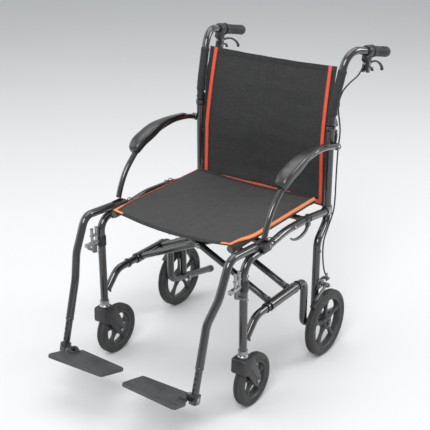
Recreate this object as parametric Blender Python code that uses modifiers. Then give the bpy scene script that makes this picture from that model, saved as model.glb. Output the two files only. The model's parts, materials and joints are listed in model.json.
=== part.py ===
"""Folding transport wheelchair with two braked rear wheels, built as separate pieces.

Units are metres. +Z is up, the sitter faces -Y, and the sitter's left is +X.
Heights are above the floor. Stations along Y are counted from the front posts,
and the last step slides the whole chair along Y until its footprint is centred.
"""

import math

import bmesh
import bpy
from mathutils import Matrix, Vector

# ---- driving dimensions -------------------------------------------------------
FRAME_HALF = 0.240  # centre plane of each side frame
CANE_HALF = 0.225  # centre plane of the back posts
SEAT_RAIL_HALF = 0.193
SEAT_RAIL_Z = 0.462
SEAT_DEPTH = 0.405
SEAT_FRONT = 0.005
BACK_STATION = 0.452  # back posts, behind the front posts
LEG_STATION = 0.375
HINGE_RAIL_Z = 0.262  # straight lower rail that the braces hinge on
BACK_HINGE_Z = 0.680
BACK_TOP_Z = 0.835
HANDLE_DROP = math.radians(12)
GRIP_END_STATION = 0.716

FRAME_TUBE_R = 0.011
ARM_TUBE_R = 0.0080
BRACE_TUBE_R = 0.0095
FOOT_TUBE_R = 0.0085
SEAT_RAIL_R = 0.0095
CABLE_R = 0.0022

REAR_WHEEL_R = 0.100
REAR_TYRE_W = 0.027
REAR_AXLE_STATION = 0.392
CASTER_R = 0.075
CASTER_TYRE_W = 0.028
CASTER_TRAIL = 0.045

TOUCH = 0.0003  # gap between pieces that touch
RUN = 0.0010  # gap beside a piece that moves
TUBE_SIDES = 3  # bevel resolution: ten sides
WHEEL_STEPS = 24

# ---- shared layout ------------------------------------------------------------
POST_FOOT_Z = 0.172
TYRE_INNER_X = FRAME_HALF + FRAME_TUBE_R + 0.004
REAR_WHEEL_X = TYRE_INNER_X + REAR_TYRE_W / 2
ARM_X = CANE_HALF + FRAME_TUBE_R + ARM_TUBE_R + RUN
ARM_PIVOT_Z = 0.622
BRACE_A_STATIONS = (0.140, 0.235)
BRACE_PITCH = 2 * BRACE_TUBE_R + 0.002  # each B tube lies behind its A tube
BRACE_B_STATIONS = tuple(y + BRACE_PITCH for y in BRACE_A_STATIONS)
BARREL_BORE_R = FRAME_TUBE_R + 0.0008
BARREL_R = BARREL_BORE_R + 0.0035
BRACE_RISE = (SEAT_RAIL_Z - HINGE_RAIL_Z) / (FRAME_HALF + SEAT_RAIL_HALF)
PIVOT_Z = HINGE_RAIL_Z + FRAME_HALF * BRACE_RISE
PIVOT_BOLT_R = 0.004
BACK_HINGE_STATION = BACK_STATION + FRAME_TUBE_R + 0.0035
HANGER_X = 0.239
FOOT_X = 0.220
SWING_STATION = 0.045
FOOT_TILT = math.radians(16)
FOOT_STATION = -0.190
FOOT_Z = 0.118
FOOTPLATE_T = 0.009

COLOURS = {
    "frame_paint": ((0.012, 0.012, 0.013), 0.22, 0.6),
    "fabric": ((0.030, 0.031, 0.033), 0.9, 0.0),
    "black_plastic": ((0.016, 0.016, 0.017), 0.5, 0.0),
    "pad": ((0.014, 0.014, 0.015), 0.45, 0.0),
    "rubber": ((0.012, 0.012, 0.012), 0.8, 0.0),
    "bright_steel": ((0.62, 0.62, 0.63), 0.2, 1.0),
    "cable": ((0.010, 0.010, 0.010), 0.4, 0.0),
    "plate_plastic": ((0.045, 0.046, 0.048), 0.55, 0.0),
}

SIDES = (("left", 1), ("right", -1))


# ---- scene and materials ------------------------------------------------------
def clear_scene():
    for obj in list(bpy.data.objects):
        bpy.data.objects.remove(obj, do_unlink=True)


def make_collection(name):
    collection = bpy.data.collections.new(name)
    bpy.context.scene.collection.children.link(collection)
    return collection


clear_scene()
PARTS = make_collection("transport_chair")
CUTTERS = make_collection("cutters")


def make_materials():
    made = {}
    for name, (colour, roughness, metallic) in COLOURS.items():
        material = bpy.data.materials.new(name)
        material.use_nodes = True
        shader = material.node_tree.nodes["Principled BSDF"]
        shader.inputs["Base Color"].default_value = (*colour, 1)
        shader.inputs["Roughness"].default_value = roughness
        shader.inputs["Metallic"].default_value = metallic
        made[name] = material
    return made


MATERIALS = make_materials()


def make_empty(name, place=(0, 0, 0), parent=None):
    """An empty on a joint's axis. Everything is upright at rest, so places just add."""
    empty = bpy.data.objects.new(name, None)
    PARTS.objects.link(empty)
    empty.empty_display_size = 0.02
    empty.location = Vector(place)
    if parent:
        empty.parent = parent
        empty.location -= parent.location
    return empty


CHAIR = make_empty("chair")


def place_under(obj, joint):
    """Put obj under a joint's empty, and its mesh origin on that empty."""
    home = Vector(joint.location)
    above = joint.parent
    while above:
        home += above.location
        above = above.parent
    shift = Matrix.Translation(obj.location - home) @ obj.matrix_basis.to_3x3().to_4x4()
    obj.parent = joint
    obj.matrix_basis = shift
    return obj


def keep(obj, joint, material):
    PARTS.objects.link(obj)
    obj.data.materials.append(MATERIALS[material])
    return place_under(obj, joint)


def cutter(obj):
    CUTTERS.objects.link(obj)
    obj.hide_render = True
    obj.display_type = "WIRE"
    return place_under(obj, CHAIR)


def combine(obj, other, operation):
    cutter(other)
    modifier = obj.modifiers.new(operation.lower(), "BOOLEAN")
    modifier.object = other
    modifier.operation = operation
    modifier.solver = "EXACT"
    return obj


def join(obj, *others):
    for other in others:
        combine(obj, other, "UNION")
    return obj


def cut(obj, *others):
    for other in others:
        combine(obj, other, "DIFFERENCE")
    return obj


# ---- basic shapes -------------------------------------------------------------
def object_from(name, bm):
    mesh = bpy.data.meshes.new(name)
    bm.to_mesh(mesh)
    bm.free()
    return bpy.data.objects.new(name, mesh)


def shade(obj):
    obj.data.shade_smooth()
    obj.data.set_sharp_from_angle(angle=math.radians(35))
    return obj


def aim(start, end):
    """Matrix that puts +Z along start to end, centred between them."""
    start, end = Vector(start), Vector(end)
    turn = (end - start).to_track_quat("Z", "Y").to_matrix().to_4x4()
    return Matrix.Translation((start + end) / 2) @ turn


def rod(name, start, end, radius, sides=12, radius_end=None):
    bm = bmesh.new()
    bmesh.ops.create_cone(
        bm,
        cap_ends=True,
        segments=sides,
        radius1=radius,
        radius2=radius if radius_end is None else radius_end,
        depth=(Vector(end) - Vector(start)).length,
        matrix=aim(start, end),
    )
    return shade(object_from(name, bm))


def bore(name, start, end, radius, sides=12):
    """A cutter whose flats, not its corners, clear the radius."""
    return rod(name, start, end, radius / math.cos(math.pi / sides), sides)


def block(name, low, high, bevel=0.0):
    low, high = Vector(low), Vector(high)
    low, high = (
        Vector(map(min, low, high)),
        Vector(map(max, low, high)),
    )
    bm = bmesh.new()
    size = Matrix.Diagonal((*(high - low), 1))
    bmesh.ops.create_cube(bm, size=1, matrix=Matrix.Translation((low + high) / 2) @ size)
    if bevel:
        bmesh.ops.bevel(bm, geom=bm.edges[:], offset=bevel, segments=1, affect="EDGES")
    return object_from(name, bm)


def arc_corner(before, corner, after, radius, steps):
    """Points that round one corner of a path with an arc."""
    back, ahead = (before - corner).normalized(), (after - corner).normalized()
    half = back.angle(ahead) / 2
    reach = radius / math.tan(half)
    centre = corner + (back + ahead).normalized() * (radius / math.sin(half))
    first, last = corner + back * reach - centre, corner + ahead * reach - centre
    swing = first.angle(last)
    return [
        centre
        + (
            first * math.sin(swing * (1 - i / steps)) + last * math.sin(swing * i / steps)
        )
        / math.sin(swing)
        for i in range(steps + 1)
    ]


def bent_path(stops, steps=4):
    """A path of straight runs with a rounded bend at each middle stop: (point, radius)."""
    points = [Vector(point) for point, _ in stops]
    path = [points[0]]
    for i in range(1, len(points) - 1):
        path += arc_corner(points[i - 1], points[i], points[i + 1], stops[i][1], steps)
    return path + [points[-1]]


def smooth_path(points, steps=3):
    """A Catmull-Rom curve through the points."""
    points = [Vector(p) for p in points]
    ends = [2 * points[0] - points[1], *points, 2 * points[-1] - points[-2]]
    path = []
    for a, b, c, d in zip(ends, ends[1:], ends[2:], ends[3:]):
        for i in range(steps):
            t = i / steps
            path.append(
                0.5
                * (
                    2 * b
                    + (c - a) * t
                    + (2 * a - 5 * b + 4 * c - d) * t**2
                    + (3 * b - a - 3 * c + d) * t**3
                )
            )
    return path + [points[-1]]


def mirrored(path, side):
    return [Vector((p[0] * side, p[1], p[2])) for p in path]


def mesh_of_curve(obj):
    """The solid mesh of a curve object, with its caps welded on."""
    PARTS.objects.link(obj)
    bpy.context.view_layer.update()
    graph = bpy.context.evaluated_depsgraph_get()
    mesh = bpy.data.meshes.new_from_object(obj.evaluated_get(graph))
    bm = bmesh.new()
    bm.from_mesh(mesh)
    bmesh.ops.remove_doubles(bm, verts=bm.verts, dist=1e-5)
    bmesh.ops.recalc_face_normals(bm, faces=bm.faces)
    made = object_from(obj.name, bm)
    made.matrix_world = obj.matrix_world.copy()
    name = obj.name
    bpy.data.objects.remove(obj)
    made.name = name
    return made


def tube(name, path, radius, sides=TUBE_SIDES):
    curve = bpy.data.curves.new(name, "CURVE")
    curve.dimensions = "3D"
    curve.bevel_depth = radius
    curve.bevel_resolution = sides
    curve.use_fill_caps = True
    spline = curve.splines.new("POLY")
    spline.points.add(len(path) - 1)
    for point, place in zip(spline.points, path):
        point.co = (*place, 1)
    return shade(mesh_of_curve(bpy.data.objects.new(name, curve)))


def plate(name, outline, thickness, place=Matrix.Identity(4)):
    """A flat outline in the local XY plane, thickness centred on it."""
    curve = bpy.data.curves.new(name, "CURVE")
    curve.dimensions = "2D"
    curve.fill_mode = "BOTH"
    curve.extrude = thickness / 2
    spline = curve.splines.new("POLY")
    spline.points.add(len(outline) - 1)
    for point, (x, y) in zip(spline.points, outline):
        point.co = (x, y, 0, 1)
    spline.use_cyclic_u = True
    made = mesh_of_curve(bpy.data.objects.new(name, curve))
    made.data.transform(place)
    return made


def rounded_outline(stops, steps=3):
    """A closed 2D outline: each stop is ((x, y), corner radius)."""
    points = [Vector((*point, 0)) for point, _ in stops]
    outline = []
    for i, (_, radius) in enumerate(stops):
        if radius:
            ring = (points[i - 1], points[i], points[(i + 1) % len(points)])
            outline += [(p.x, p.y) for p in arc_corner(*ring, radius, steps)]
        else:
            outline.append((points[i].x, points[i].y))
    return outline


def turned(name, profile, place, axis, steps=WHEEL_STEPS, closed=False):
    """A profile of (radius, height) turned round axis with a Screw modifier."""
    bm = bmesh.new()
    verts = [bm.verts.new((r, 0, z)) for r, z in profile]
    for a, b in zip(verts, verts[1:]):
        bm.edges.new((a, b))
    if closed:
        bm.edges.new((verts[-1], verts[0]))
    obj = object_from(name, bm)
    screw = obj.modifiers.new("turn", "SCREW")
    screw.axis = "Z"
    screw.steps = steps
    screw.render_steps = steps
    screw.use_merge_vertices = True
    screw.merge_threshold = 1e-5
    screw.use_smooth_shade = False
    turn = Vector(axis).to_track_quat("Z", "Y").to_matrix().to_4x4()
    obj.matrix_basis = Matrix.Translation(Vector(place)) @ turn
    return obj


def loft(name, rings):
    """A closed solid through rings of points of equal count."""
    bm = bmesh.new()
    rows = [[bm.verts.new(p) for p in ring] for ring in rings]
    count = len(rows[0])
    for a, b in zip(rows, rows[1:]):
        for i in range(count):
            j = (i + 1) % count
            bm.faces.new((a[i], a[j], b[j], b[i]))
    bm.faces.new(rows[0])
    bm.faces.new(list(reversed(rows[-1])))
    bmesh.ops.recalc_face_normals(bm, faces=bm.faces)
    return shade(object_from(name, bm))


# ---- joints: one empty on each axis --------------------------------------------
def make_joints():
    joints = {"left_frame": CHAIR}
    middle_y = (BRACE_A_STATIONS[0] + BRACE_B_STATIONS[1]) / 2
    fold = make_empty("fold", (FRAME_HALF, middle_y, HINGE_RAIL_Z), CHAIR)
    scissor = make_empty("scissor", (0, middle_y, PIVOT_Z), CHAIR)
    right = make_empty("right_frame", (-FRAME_HALF, middle_y, HINGE_RAIL_Z), CHAIR)
    joints.update(brace_a=fold, brace_b=scissor, right_frame=right)
    for name, side in SIDES:
        frame_x = side * FRAME_HALF
        for key, place in (
            ("caster", (frame_x, 0, POST_FOOT_Z)),
            ("caster_wheel", (frame_x, CASTER_TRAIL, CASTER_R)),
            ("rear_wheel", (side * REAR_WHEEL_X, REAR_AXLE_STATION, REAR_WHEEL_R)),
            ("arm", (side * ARM_X, BACK_STATION, ARM_PIVOT_Z)),
            ("hanger", (frame_x, SWING_STATION, SEAT_RAIL_Z)),
            ("foot", (side * FOOT_X, FOOT_STATION, FOOT_Z)),
            ("footplate", footplate_axis(side)),
            ("back", (side * CANE_HALF, BACK_HINGE_STATION, BACK_HINGE_Z)),
            ("brake_lever", brake_lever_axis(side)),
            ("parking_catch", parking_catch_axis(side)),
            ("brake_arm", (side * BRAKE_ARM_X, *BRAKE_ARM_PIVOT)),
            ("back_latch", (side * CANE_HALF, *BACK_LATCH_PIVOT)),
            ("swing_latch", swing_latch_axis(side)),
        ):
            joints[f"{name}_{key}"] = make_empty(f"{name}_{key}_axis", place, CHAIR)
    return joints


# ---- side frames ---------------------------------------------------------------
SADDLE_STATIONS = (0.1085, 0.3000)
SADDLE_LENGTH = 0.020
SIDE_TUBE_PEAK_Z = 0.4525
CRANK_TOP_Z = 0.395


def side_tube_path():
    join_y = BACK_STATION - FRAME_TUBE_R - 0.0028
    return bent_path(
        [
            ((FRAME_HALF, 0, POST_FOOT_Z), 0),
            ((FRAME_HALF, 0, 0.439), 0.038),
            ((FRAME_HALF, 0.110, 0.443), 0.3),
            ((FRAME_HALF - 0.001, 0.200, SIDE_TUBE_PEAK_Z + 0.002), 0.3),
            ((FRAME_HALF - 0.003, 0.310, 0.449), 0.3),
            ((CANE_HALF + 0.003, join_y, 0.427), 0),
        ]
    )


def build_side_tube(name, side, joints):
    """Front post and top rail from one bent tube, with two saddles for the seat rail."""
    path = mirrored(side_tube_path(), side)
    made = tube(f"{name}_side_tube", path, FRAME_TUBE_R)
    rail_x = side * SEAT_RAIL_HALF
    saddle_top = SEAT_RAIL_Z - SEAT_RAIL_R - TOUCH
    for station in SADDLE_STATIONS:
        low = (rail_x - side * 0.010, station, saddle_top - 0.008)
        high = (side * (FRAME_HALF - 0.004), station + SADDLE_LENGTH, saddle_top)
        join(made, block(f"{name}_saddle", low, high))
    bore_r = CASTER_STEM_R + TOUCH
    foot = Vector((side * FRAME_HALF, 0, POST_FOOT_Z))
    hole = bore(
        f"{name}_post_bore",
        foot - Vector((0, 0, 0.005)),
        foot + Vector((0, 0, CASTER_STEM_LENGTH + 0.002)),
        bore_r,
    )
    return keep(cut(made, hole), joints[f"{name}_frame"], "frame_paint")


TIP_START = (0.310, 0.124)
TIP_END = (0.528, 0.076)


def tip_tube_z(station):
    share = (station - TIP_START[0]) / (TIP_END[0] - TIP_START[0])
    return TIP_START[1] + share * (TIP_END[1] - TIP_START[1])


def build_rear_post(name, side, joints):
    """Back post below the fold, cranked forward into the rear leg."""
    leg_foot = tip_tube_z(LEG_STATION) + FRAME_TUBE_R + 0.0035
    path = bent_path(
        [
            ((CANE_HALF, BACK_STATION, BACK_HINGE_Z - RUN), 0),
            ((CANE_HALF, BACK_STATION, CRANK_TOP_Z), 0.028),
            ((FRAME_HALF, LEG_STATION, CRANK_TOP_Z - 0.036), 0.028),
            ((FRAME_HALF, LEG_STATION, leg_foot), 0),
        ]
    )
    made = tube(f"{name}_rear_post", mirrored(path, side), FRAME_TUBE_R)
    knuckle = knuckle_rod(f"{name}_post_knuckle", side, -0.0045, 0.0045)
    lug = block(
        f"{name}_post_lug",
        (side * CANE_HALF - 0.0045, BACK_STATION + 0.007, BACK_HINGE_Z - 0.015),
        (side * CANE_HALF + 0.0045, BACK_HINGE_STATION + 0.003, BACK_HINGE_Z - 0.002),
    )
    return keep(join(made, lug, knuckle), joints[f"{name}_frame"], "frame_paint")


def knuckle_rod(name, side, low, high):
    """A stretch of the back hinge's knuckle, from low to high about the post's plane."""
    x = side * CANE_HALF
    start = (x + low, BACK_HINGE_STATION, BACK_HINGE_Z)
    end = (x + high, BACK_HINGE_STATION, BACK_HINGE_Z)
    return rod(name, start, end, 0.0028)


def lower_rail_path():
    return bent_path(
        [
            ((FRAME_HALF, FRAME_TUBE_R + 0.009, 0.220), 0),
            ((FRAME_HALF, 0.060, HINGE_RAIL_Z), 0.05),
            ((FRAME_HALF, TIP_START[0], HINGE_RAIL_Z), 0.026),
            ((FRAME_HALF, *TIP_START), 0.028),
            ((FRAME_HALF, *TIP_END), 0),
        ]
    )


def build_lower_rail(name, side, joints):
    """Lower rail, drop and tipping tube from one bent tube, bored for the rear axle."""
    made = tube(f"{name}_lower_rail", mirrored(lower_rail_path(), side), FRAME_TUBE_R)
    hole = bore(
        f"{name}_axle_bore",
        (side * (FRAME_HALF - 0.02), REAR_AXLE_STATION, REAR_WHEEL_R),
        (side * (FRAME_HALF + 0.02), REAR_AXLE_STATION, REAR_WHEEL_R),
        REAR_AXLE_R + TOUCH,
    )
    return keep(cut(made, hole), joints[f"{name}_frame"], "frame_paint")


# ---- rear wheels ---------------------------------------------------------------
REAR_AXLE_R = 0.005
REAR_RIM_R = 0.079
REAR_HUB_R = 0.019
CASTER_RIM_R = 0.055
CASTER_HUB_R = 0.015


def build_tyre(name, radius, inner, width, place, joint):
    """A rubber ring with rounded shoulders."""
    half = width / 2
    shoulder = (radius - inner) * 0.45
    profile = [
        (inner, half * 0.86),
        (radius - shoulder, half),
        (radius - shoulder * 0.3, half * 0.8),
        (radius, half * 0.42),
        (radius, -half * 0.42),
        (radius - shoulder * 0.3, -half * 0.8),
        (radius - shoulder, -half),
        (inner, -half * 0.86),
    ]
    made = turned(name, profile, place, (1, 0, 0), closed=True)
    return keep(made, joint, "rubber")


def build_wheel(name, rim_r, hub_r, bore_r, width, spokes, place, joint):
    """A moulded wheel: rim, hub and straight spokes, bored for its axle."""
    half = width / 2 * 0.8
    rim = [
        (rim_r, half),
        (rim_r, -half),
        (rim_r - 0.006, -half),
        (rim_r - 0.006, half),
    ]
    place = Vector(place)
    made = turned(name, rim, place, (1, 0, 0), closed=True)
    along = Vector((half + 0.002, 0, 0))
    join(made, rod(f"{name}_hub", place - along, place + along, hub_r, 20))
    for i in range(spokes):
        angle = math.tau * i / spokes
        out = Vector((0, math.sin(angle), math.cos(angle)))
        spoke = rod(
            f"{name}_spoke",
            place + out * (hub_r - 0.004),
            place + out * (rim_r - 0.003),
            0.0075,
            6,
            0.005,
        )
        join(made, spoke)
    bore_end = Vector((width, 0, 0))
    hole = bore(f"{name}_bore", place - bore_end, place + bore_end, bore_r)
    return keep(cut(made, hole), joint, "black_plastic")


def build_rear_wheel(name, side, joints):
    joint = joints[f"{name}_rear_wheel"]
    place = (side * REAR_WHEEL_X, REAR_AXLE_STATION, REAR_WHEEL_R)
    inner = REAR_RIM_R + TOUCH
    build_tyre(f"{name}_rear_tyre", REAR_WHEEL_R, inner, REAR_TYRE_W, place, joint)
    build_wheel(
        f"{name}_rear_wheel",
        REAR_RIM_R,
        REAR_HUB_R,
        REAR_AXLE_R + TOUCH,
        REAR_TYRE_W,
        5,
        place,
        joint,
    )
    build_rear_axle(name, side, joints)


def build_rear_axle(name, side, joints):
    """Axle bolt: head outside the wheel, shank through the hub and the tipping tube."""
    hub_end = REAR_WHEEL_X + REAR_TYRE_W / 2 * 0.8 + 0.002 + RUN
    tip = FRAME_HALF - FRAME_TUBE_R - 0.004
    profile = [
        (0, hub_end + 0.006),
        (0.008, hub_end + 0.006),
        (0.009, hub_end),
        (REAR_AXLE_R, hub_end),
        (REAR_AXLE_R, tip),
        (0, tip),
    ]
    place = (0, REAR_AXLE_STATION, REAR_WHEEL_R)
    made = turned(f"{name}_rear_axle", profile, place, (side, 0, 0), 12)
    keep(made, joints[f"{name}_frame"], "bright_steel")


# ---- casters -------------------------------------------------------------------
CASTER_STEM_R = 0.005
CASTER_STEM_LENGTH = 0.030
CASTER_CUP_H = 0.006
FORK_W = 0.044
FORK_SLOT_W = CASTER_TYRE_W + 0.004
CASTER_AXLE_R = 0.004


def build_caster(name, side, joints):
    frame_x = side * FRAME_HALF
    swivel, roll = joints[f"{name}_caster"], joints[f"{name}_caster_wheel"]
    cup_top = POST_FOOT_Z - TOUCH
    cup_low = cup_top - CASTER_CUP_H
    stem_top = POST_FOOT_Z + CASTER_STEM_LENGTH
    stem = turned(
        f"{name}_caster_stem",
        [
            (0, stem_top),
            (CASTER_STEM_R, stem_top),
            (CASTER_STEM_R, cup_top),
            (0.0145, cup_top),
            (0.0155, cup_low),
            (0, cup_low),
        ],
        (frame_x, 0, 0),
        (0, 0, 1),
        16,
    )
    keep(stem, joints[f"{name}_frame"], "bright_steel")
    build_fork(name, frame_x, cup_low - TOUCH, swivel)
    place = (frame_x, CASTER_TRAIL, CASTER_R)
    inner = CASTER_RIM_R + TOUCH
    build_tyre(f"{name}_caster_tyre", CASTER_R, inner, CASTER_TYRE_W, place, roll)
    build_wheel(
        f"{name}_caster_wheel",
        CASTER_RIM_R,
        CASTER_HUB_R,
        CASTER_AXLE_R + TOUCH,
        CASTER_TYRE_W,
        5,
        place,
        roll,
    )
    half = FORK_W / 2 + 0.003
    axle = turned(
        f"{name}_caster_axle",
        [
            (0, half),
            (0.0065, half),
            (0.0065, FORK_W / 2 + TOUCH),
            (CASTER_AXLE_R, FORK_W / 2 + TOUCH),
            (CASTER_AXLE_R, -FORK_W / 2 - TOUCH),
            (0.0065, -FORK_W / 2 - TOUCH),
            (0.0065, -half),
            (0, -half),
        ],
        place,
        (1, 0, 0),
        12,
    )
    keep(axle, swivel, "bright_steel")


def build_fork(name, frame_x, top, joint):
    """Moulded fork: a block over the wheel whose arms trail to the axle."""
    side_view = rounded_outline(
        [
            ((-0.024, top), 0.006),
            ((-0.026, 0.122), 0.008),
            ((-0.004, 0.112), 0.012),
            ((CASTER_TRAIL - 0.010, CASTER_R - 0.014), 0.010),
            ((CASTER_TRAIL + 0.013, CASTER_R - 0.010), 0.010),
            ((CASTER_TRAIL + 0.013, CASTER_R + 0.012), 0.010),
            ((0.030, top - 0.005), 0.010),
            ((0.018, top), 0.004),
        ]
    )
    upright = Matrix(((0, 0, 1, frame_x), (1, 0, 0, 0), (0, 1, 0, 0), (0, 0, 0, 1)))
    fork = plate(f"{name}_caster_fork", side_view, FORK_W, upright)
    axle = Vector((frame_x, CASTER_TRAIL, CASTER_R))
    half_slot = Vector((FORK_SLOT_W / 2, 0, 0))
    slot = bore(
        f"{name}_fork_slot", axle - half_slot, axle + half_slot, CASTER_R + 0.0035, 32
    )
    half_bore = Vector((FORK_W, 0, 0))
    hole = bore(
        f"{name}_fork_bore", axle - half_bore, axle + half_bore, CASTER_AXLE_R + TOUCH
    )
    keep(cut(fork, slot, hole), joint, "black_plastic")


# ---- cross brace ---------------------------------------------------------------
def build_brace(letter, from_side, stations, joints):
    """Hinge barrel on one lower rail, two tubes across, and the opposite seat rail."""
    name = f"cross_brace_{letter}"
    hinge_x, rail_x = from_side * FRAME_HALF, -from_side * SEAT_RAIL_HALF
    inset = 0.024
    barrel_y = (stations[0] - inset * 0.7, stations[1] + inset * 0.85)
    barrel = rod(
        name,
        (hinge_x, barrel_y[0], HINGE_RAIL_Z),
        (hinge_x, barrel_y[1], HINGE_RAIL_Z),
        BARREL_R,
        16,
    )
    across = Vector((rail_x - hinge_x, 0, SEAT_RAIL_Z - HINGE_RAIL_Z)).normalized()
    for y in stations:
        start = Vector((hinge_x, y, HINGE_RAIL_Z)) + across * (BARREL_BORE_R + 0.0015)
        join(barrel, rod(f"{name}_tube", start, (rail_x, y, SEAT_RAIL_Z), BRACE_TUBE_R))
    rail = rod(
        f"{name}_seat_rail",
        (rail_x, SEAT_FRONT, SEAT_RAIL_Z),
        (rail_x, SEAT_FRONT + SEAT_DEPTH, SEAT_RAIL_Z),
        SEAT_RAIL_R,
    )
    join(barrel, rail)
    first, last = BRACE_A_STATIONS[0] - 0.014, BRACE_B_STATIONS[1] + 0.014
    if letter == "b":
        bolt = rod(f"{name}_bolt", (0, first, PIVOT_Z), (0, last, PIVOT_Z), PIVOT_BOLT_R)
        join(barrel, bolt)
    else:
        bore_r = PIVOT_BOLT_R + 0.0005
        cut(barrel, bore(f"{name}_bolt_bore", (0, 0, PIVOT_Z), (0, 0.4, PIVOT_Z), bore_r))
    hole = bore(
        f"{name}_barrel_bore",
        (hinge_x, barrel_y[0] - 0.01, HINGE_RAIL_Z),
        (hinge_x, barrel_y[1] + 0.01, HINGE_RAIL_Z),
        BARREL_BORE_R,
        16,
    )
    keep(cut(barrel, hole), joints[f"brace_{letter}"], "frame_paint")


# ---- armrests ------------------------------------------------------------------
def arm_path():
    """Arched arm tube from its pivot down to the socket, as (station, height)."""
    return smooth_path(
        [
            (ARM_X, BACK_STATION, ARM_PIVOT_Z),
            (ARM_X, 0.405, 0.633),
            (ARM_X, 0.340, 0.638),
            (ARM_X, 0.275, 0.629),
            (ARM_X, 0.222, 0.613),
            (ARM_X, 0.185, 0.600),
            (ARM_X, 0.150, 0.574),
            (ARM_X, 0.119, 0.543),
            (ARM_X, 0.098, 0.508),
            (ARM_X, 0.086, ARM_FOOT_Z),
        ]
    )


ARM_FOOT_Z = 0.478
PAD_REAR, PAD_FRONT = 3, 17  # the stretch of the arm's path under the pad


def build_arm(name, side, joints):
    joint = joints[f"{name}_arm"]
    path = arm_path()
    made = tube(f"{name}_arm_tube", mirrored(path, side), ARM_TUBE_R)
    bolt_r = 0.006
    x = side * (ARM_X + ARM_TUBE_R - 0.002)
    head = rod(
        f"{name}_arm_bolt",
        (x, BACK_STATION, ARM_PIVOT_Z),
        (x + side * 0.006, BACK_STATION, ARM_PIVOT_Z),
        bolt_r,
    )
    keep(join(made, head), joint, "frame_paint")
    rings = []
    stretch = path[PAD_REAR : PAD_FRONT + 1]
    for i, point in enumerate(stretch):
        share = i / (len(stretch) - 1)
        along = (path[PAD_REAR + i + 1] - path[PAD_REAR + i - 1]).normalized()
        up = Vector((1, 0, 0)).cross(along)
        up = up if up.z > 0 else -up
        rings.append(pad_ring(point, up, share, side))
    pad = loft(f"{name}_arm_pad", rings)
    groove = tube(f"{name}_pad_groove", mirrored(path, side), ARM_TUBE_R + 2 * TOUCH)
    keep(cut(pad, groove), joint, "pad")
    build_arm_socket(name, side, joints)


def pad_ring(point, up, share, side):
    """One section of the arm pad: a thin strip at the rear, and a full pad wrapped
    round the tube's upper half near the front."""
    swell = min(1, max(0, (share - 0.08) / 0.52))
    swell *= swell * (3 - 2 * swell)
    end = math.sqrt(max(0.0, 1 - max(0.0, (share - 0.80) / 0.20) ** 2))
    half = (0.0078 + 0.0127 * swell) * (0.60 + 0.40 * end)
    foot = ARM_TUBE_R + 4 * TOUCH - 0.0110 * swell
    top = ARM_TUBE_R + (0.0045 + 0.0175 * swell) * (0.40 + 0.60 * end)
    ring = []
    for u, v in (
        (-0.8, 0),
        (-1, 0.3),
        (-0.95, 0.7),
        (-0.5, 1),
        (0.5, 1),
        (0.95, 0.7),
        (1, 0.3),
        (0.8, 0),
    ):
        spot = point + up * (foot + (top - foot) * v) + Vector((half * u, 0, 0))
        ring.append(Vector((spot.x * side, spot.y, spot.z)))
    return ring


def build_arm_socket(name, side, joints):
    """Plastic saddle on the side tube that the arm's foot rests in."""
    low = (side * (FRAME_HALF - 0.0150), 0.064, 0.4400)
    high = (side * (ARM_X + 0.0120), 0.106, 0.4665)
    made = block(f"{name}_arm_socket", low, high, 0.002)
    groove = bore(
        f"{name}_socket_groove",
        (side * FRAME_HALF, 0.040, 0.4400),
        (side * FRAME_HALF, 0.130, 0.4462),
        FRAME_TUBE_R + 0.0011,
        20,
    )
    keep(cut(made, groove), joints[f"{name}_frame"], "black_plastic")


# ---- hangers and footplates ----------------------------------------------------
HANGER_END_UP = 0.092  # hanger tube's lower end, above the footplate along the tube
FOOT_TUBE_TOP_UP = 0.175
FOOT_TRAVEL = 0.050


def foot_axis_point(up, side=1):
    """A point on the foot tube's axis, so far up it from the footplate."""
    return Vector(
        (
            side * FOOT_X,
            FOOT_STATION + up * math.sin(FOOT_TILT),
            FOOT_Z + up * math.cos(FOOT_TILT),
        )
    )


def build_hanger(name, side, joints):
    joint = joints[f"{name}_hanger"]
    knee = foot_axis_point(0.205)
    stops = [
        ((HANGER_X, SWING_STATION + 0.004, 0.4635), 0),
        ((HANGER_X, -0.062, 0.4710), 0.036),
        ((HANGER_X - 0.002, -0.106, 0.378), 0.10),
        (tuple(knee), 0.10),
        (tuple(foot_axis_point(HANGER_END_UP)), 0),
    ]
    path = mirrored(bent_path(stops), side)
    made = tube(f"{name}_hanger_tube", path, FRAME_TUBE_R)
    hole = bore(
        f"{name}_hanger_bore",
        foot_axis_point(HANGER_END_UP - 0.01, side),
        foot_axis_point(FOOT_TUBE_TOP_UP + 0.004, side),
        FOOT_TUBE_R + TOUCH,
    )
    keep(cut(made, hole), joint, "frame_paint")
    build_hanger_bracket(name, side, joint)
    build_swing_latch(name, side, joints)


BRACKET_Y = (-0.052, -0.0135)
LATCH_Z = 0.352


def build_hanger_bracket(name, side, joint):
    """Steel link and two pins that brace the hanger against its front post."""
    x = side * FRAME_HALF
    made = block(
        f"{name}_hanger_bracket",
        (x - 0.006, BRACKET_Y[0] - 0.012, 0.374),
        (x + 0.006, BRACKET_Y[1], 0.384),
        0.001,
    )
    for y in (-0.020, -0.038):
        pin = rod(f"{name}_bracket_pin", (x, y, 0.380), (x, y, 0.424), 0.0042)
        join(made, pin)
    keep(made, joint, "bright_steel")


def swing_latch_axis(side):
    return (side * FRAME_HALF, -0.030, LATCH_Z + 0.010)


def build_swing_latch(name, side, joints):
    """Release lever under the link, with a round finger knob."""
    x, y, z = swing_latch_axis(side)
    made = rod(f"{name}_swing_latch", (x, y, z + 0.0115), (x, y, z - 0.012), 0.0075, 16)
    arm = block(
        f"{name}_latch_arm",
        (x - 0.004, y - 0.004, z - 0.010),
        (x + side * 0.024, y + 0.004, z - 0.004),
        0.001,
    )
    keep(join(made, arm), joints[f"{name}_swing_latch"], "bright_steel")


FOOT_HINGE_IN = 0.0205  # footplate hinge, inboard of the foot tube
FOOT_HINGE_UP = 0.010


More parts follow.
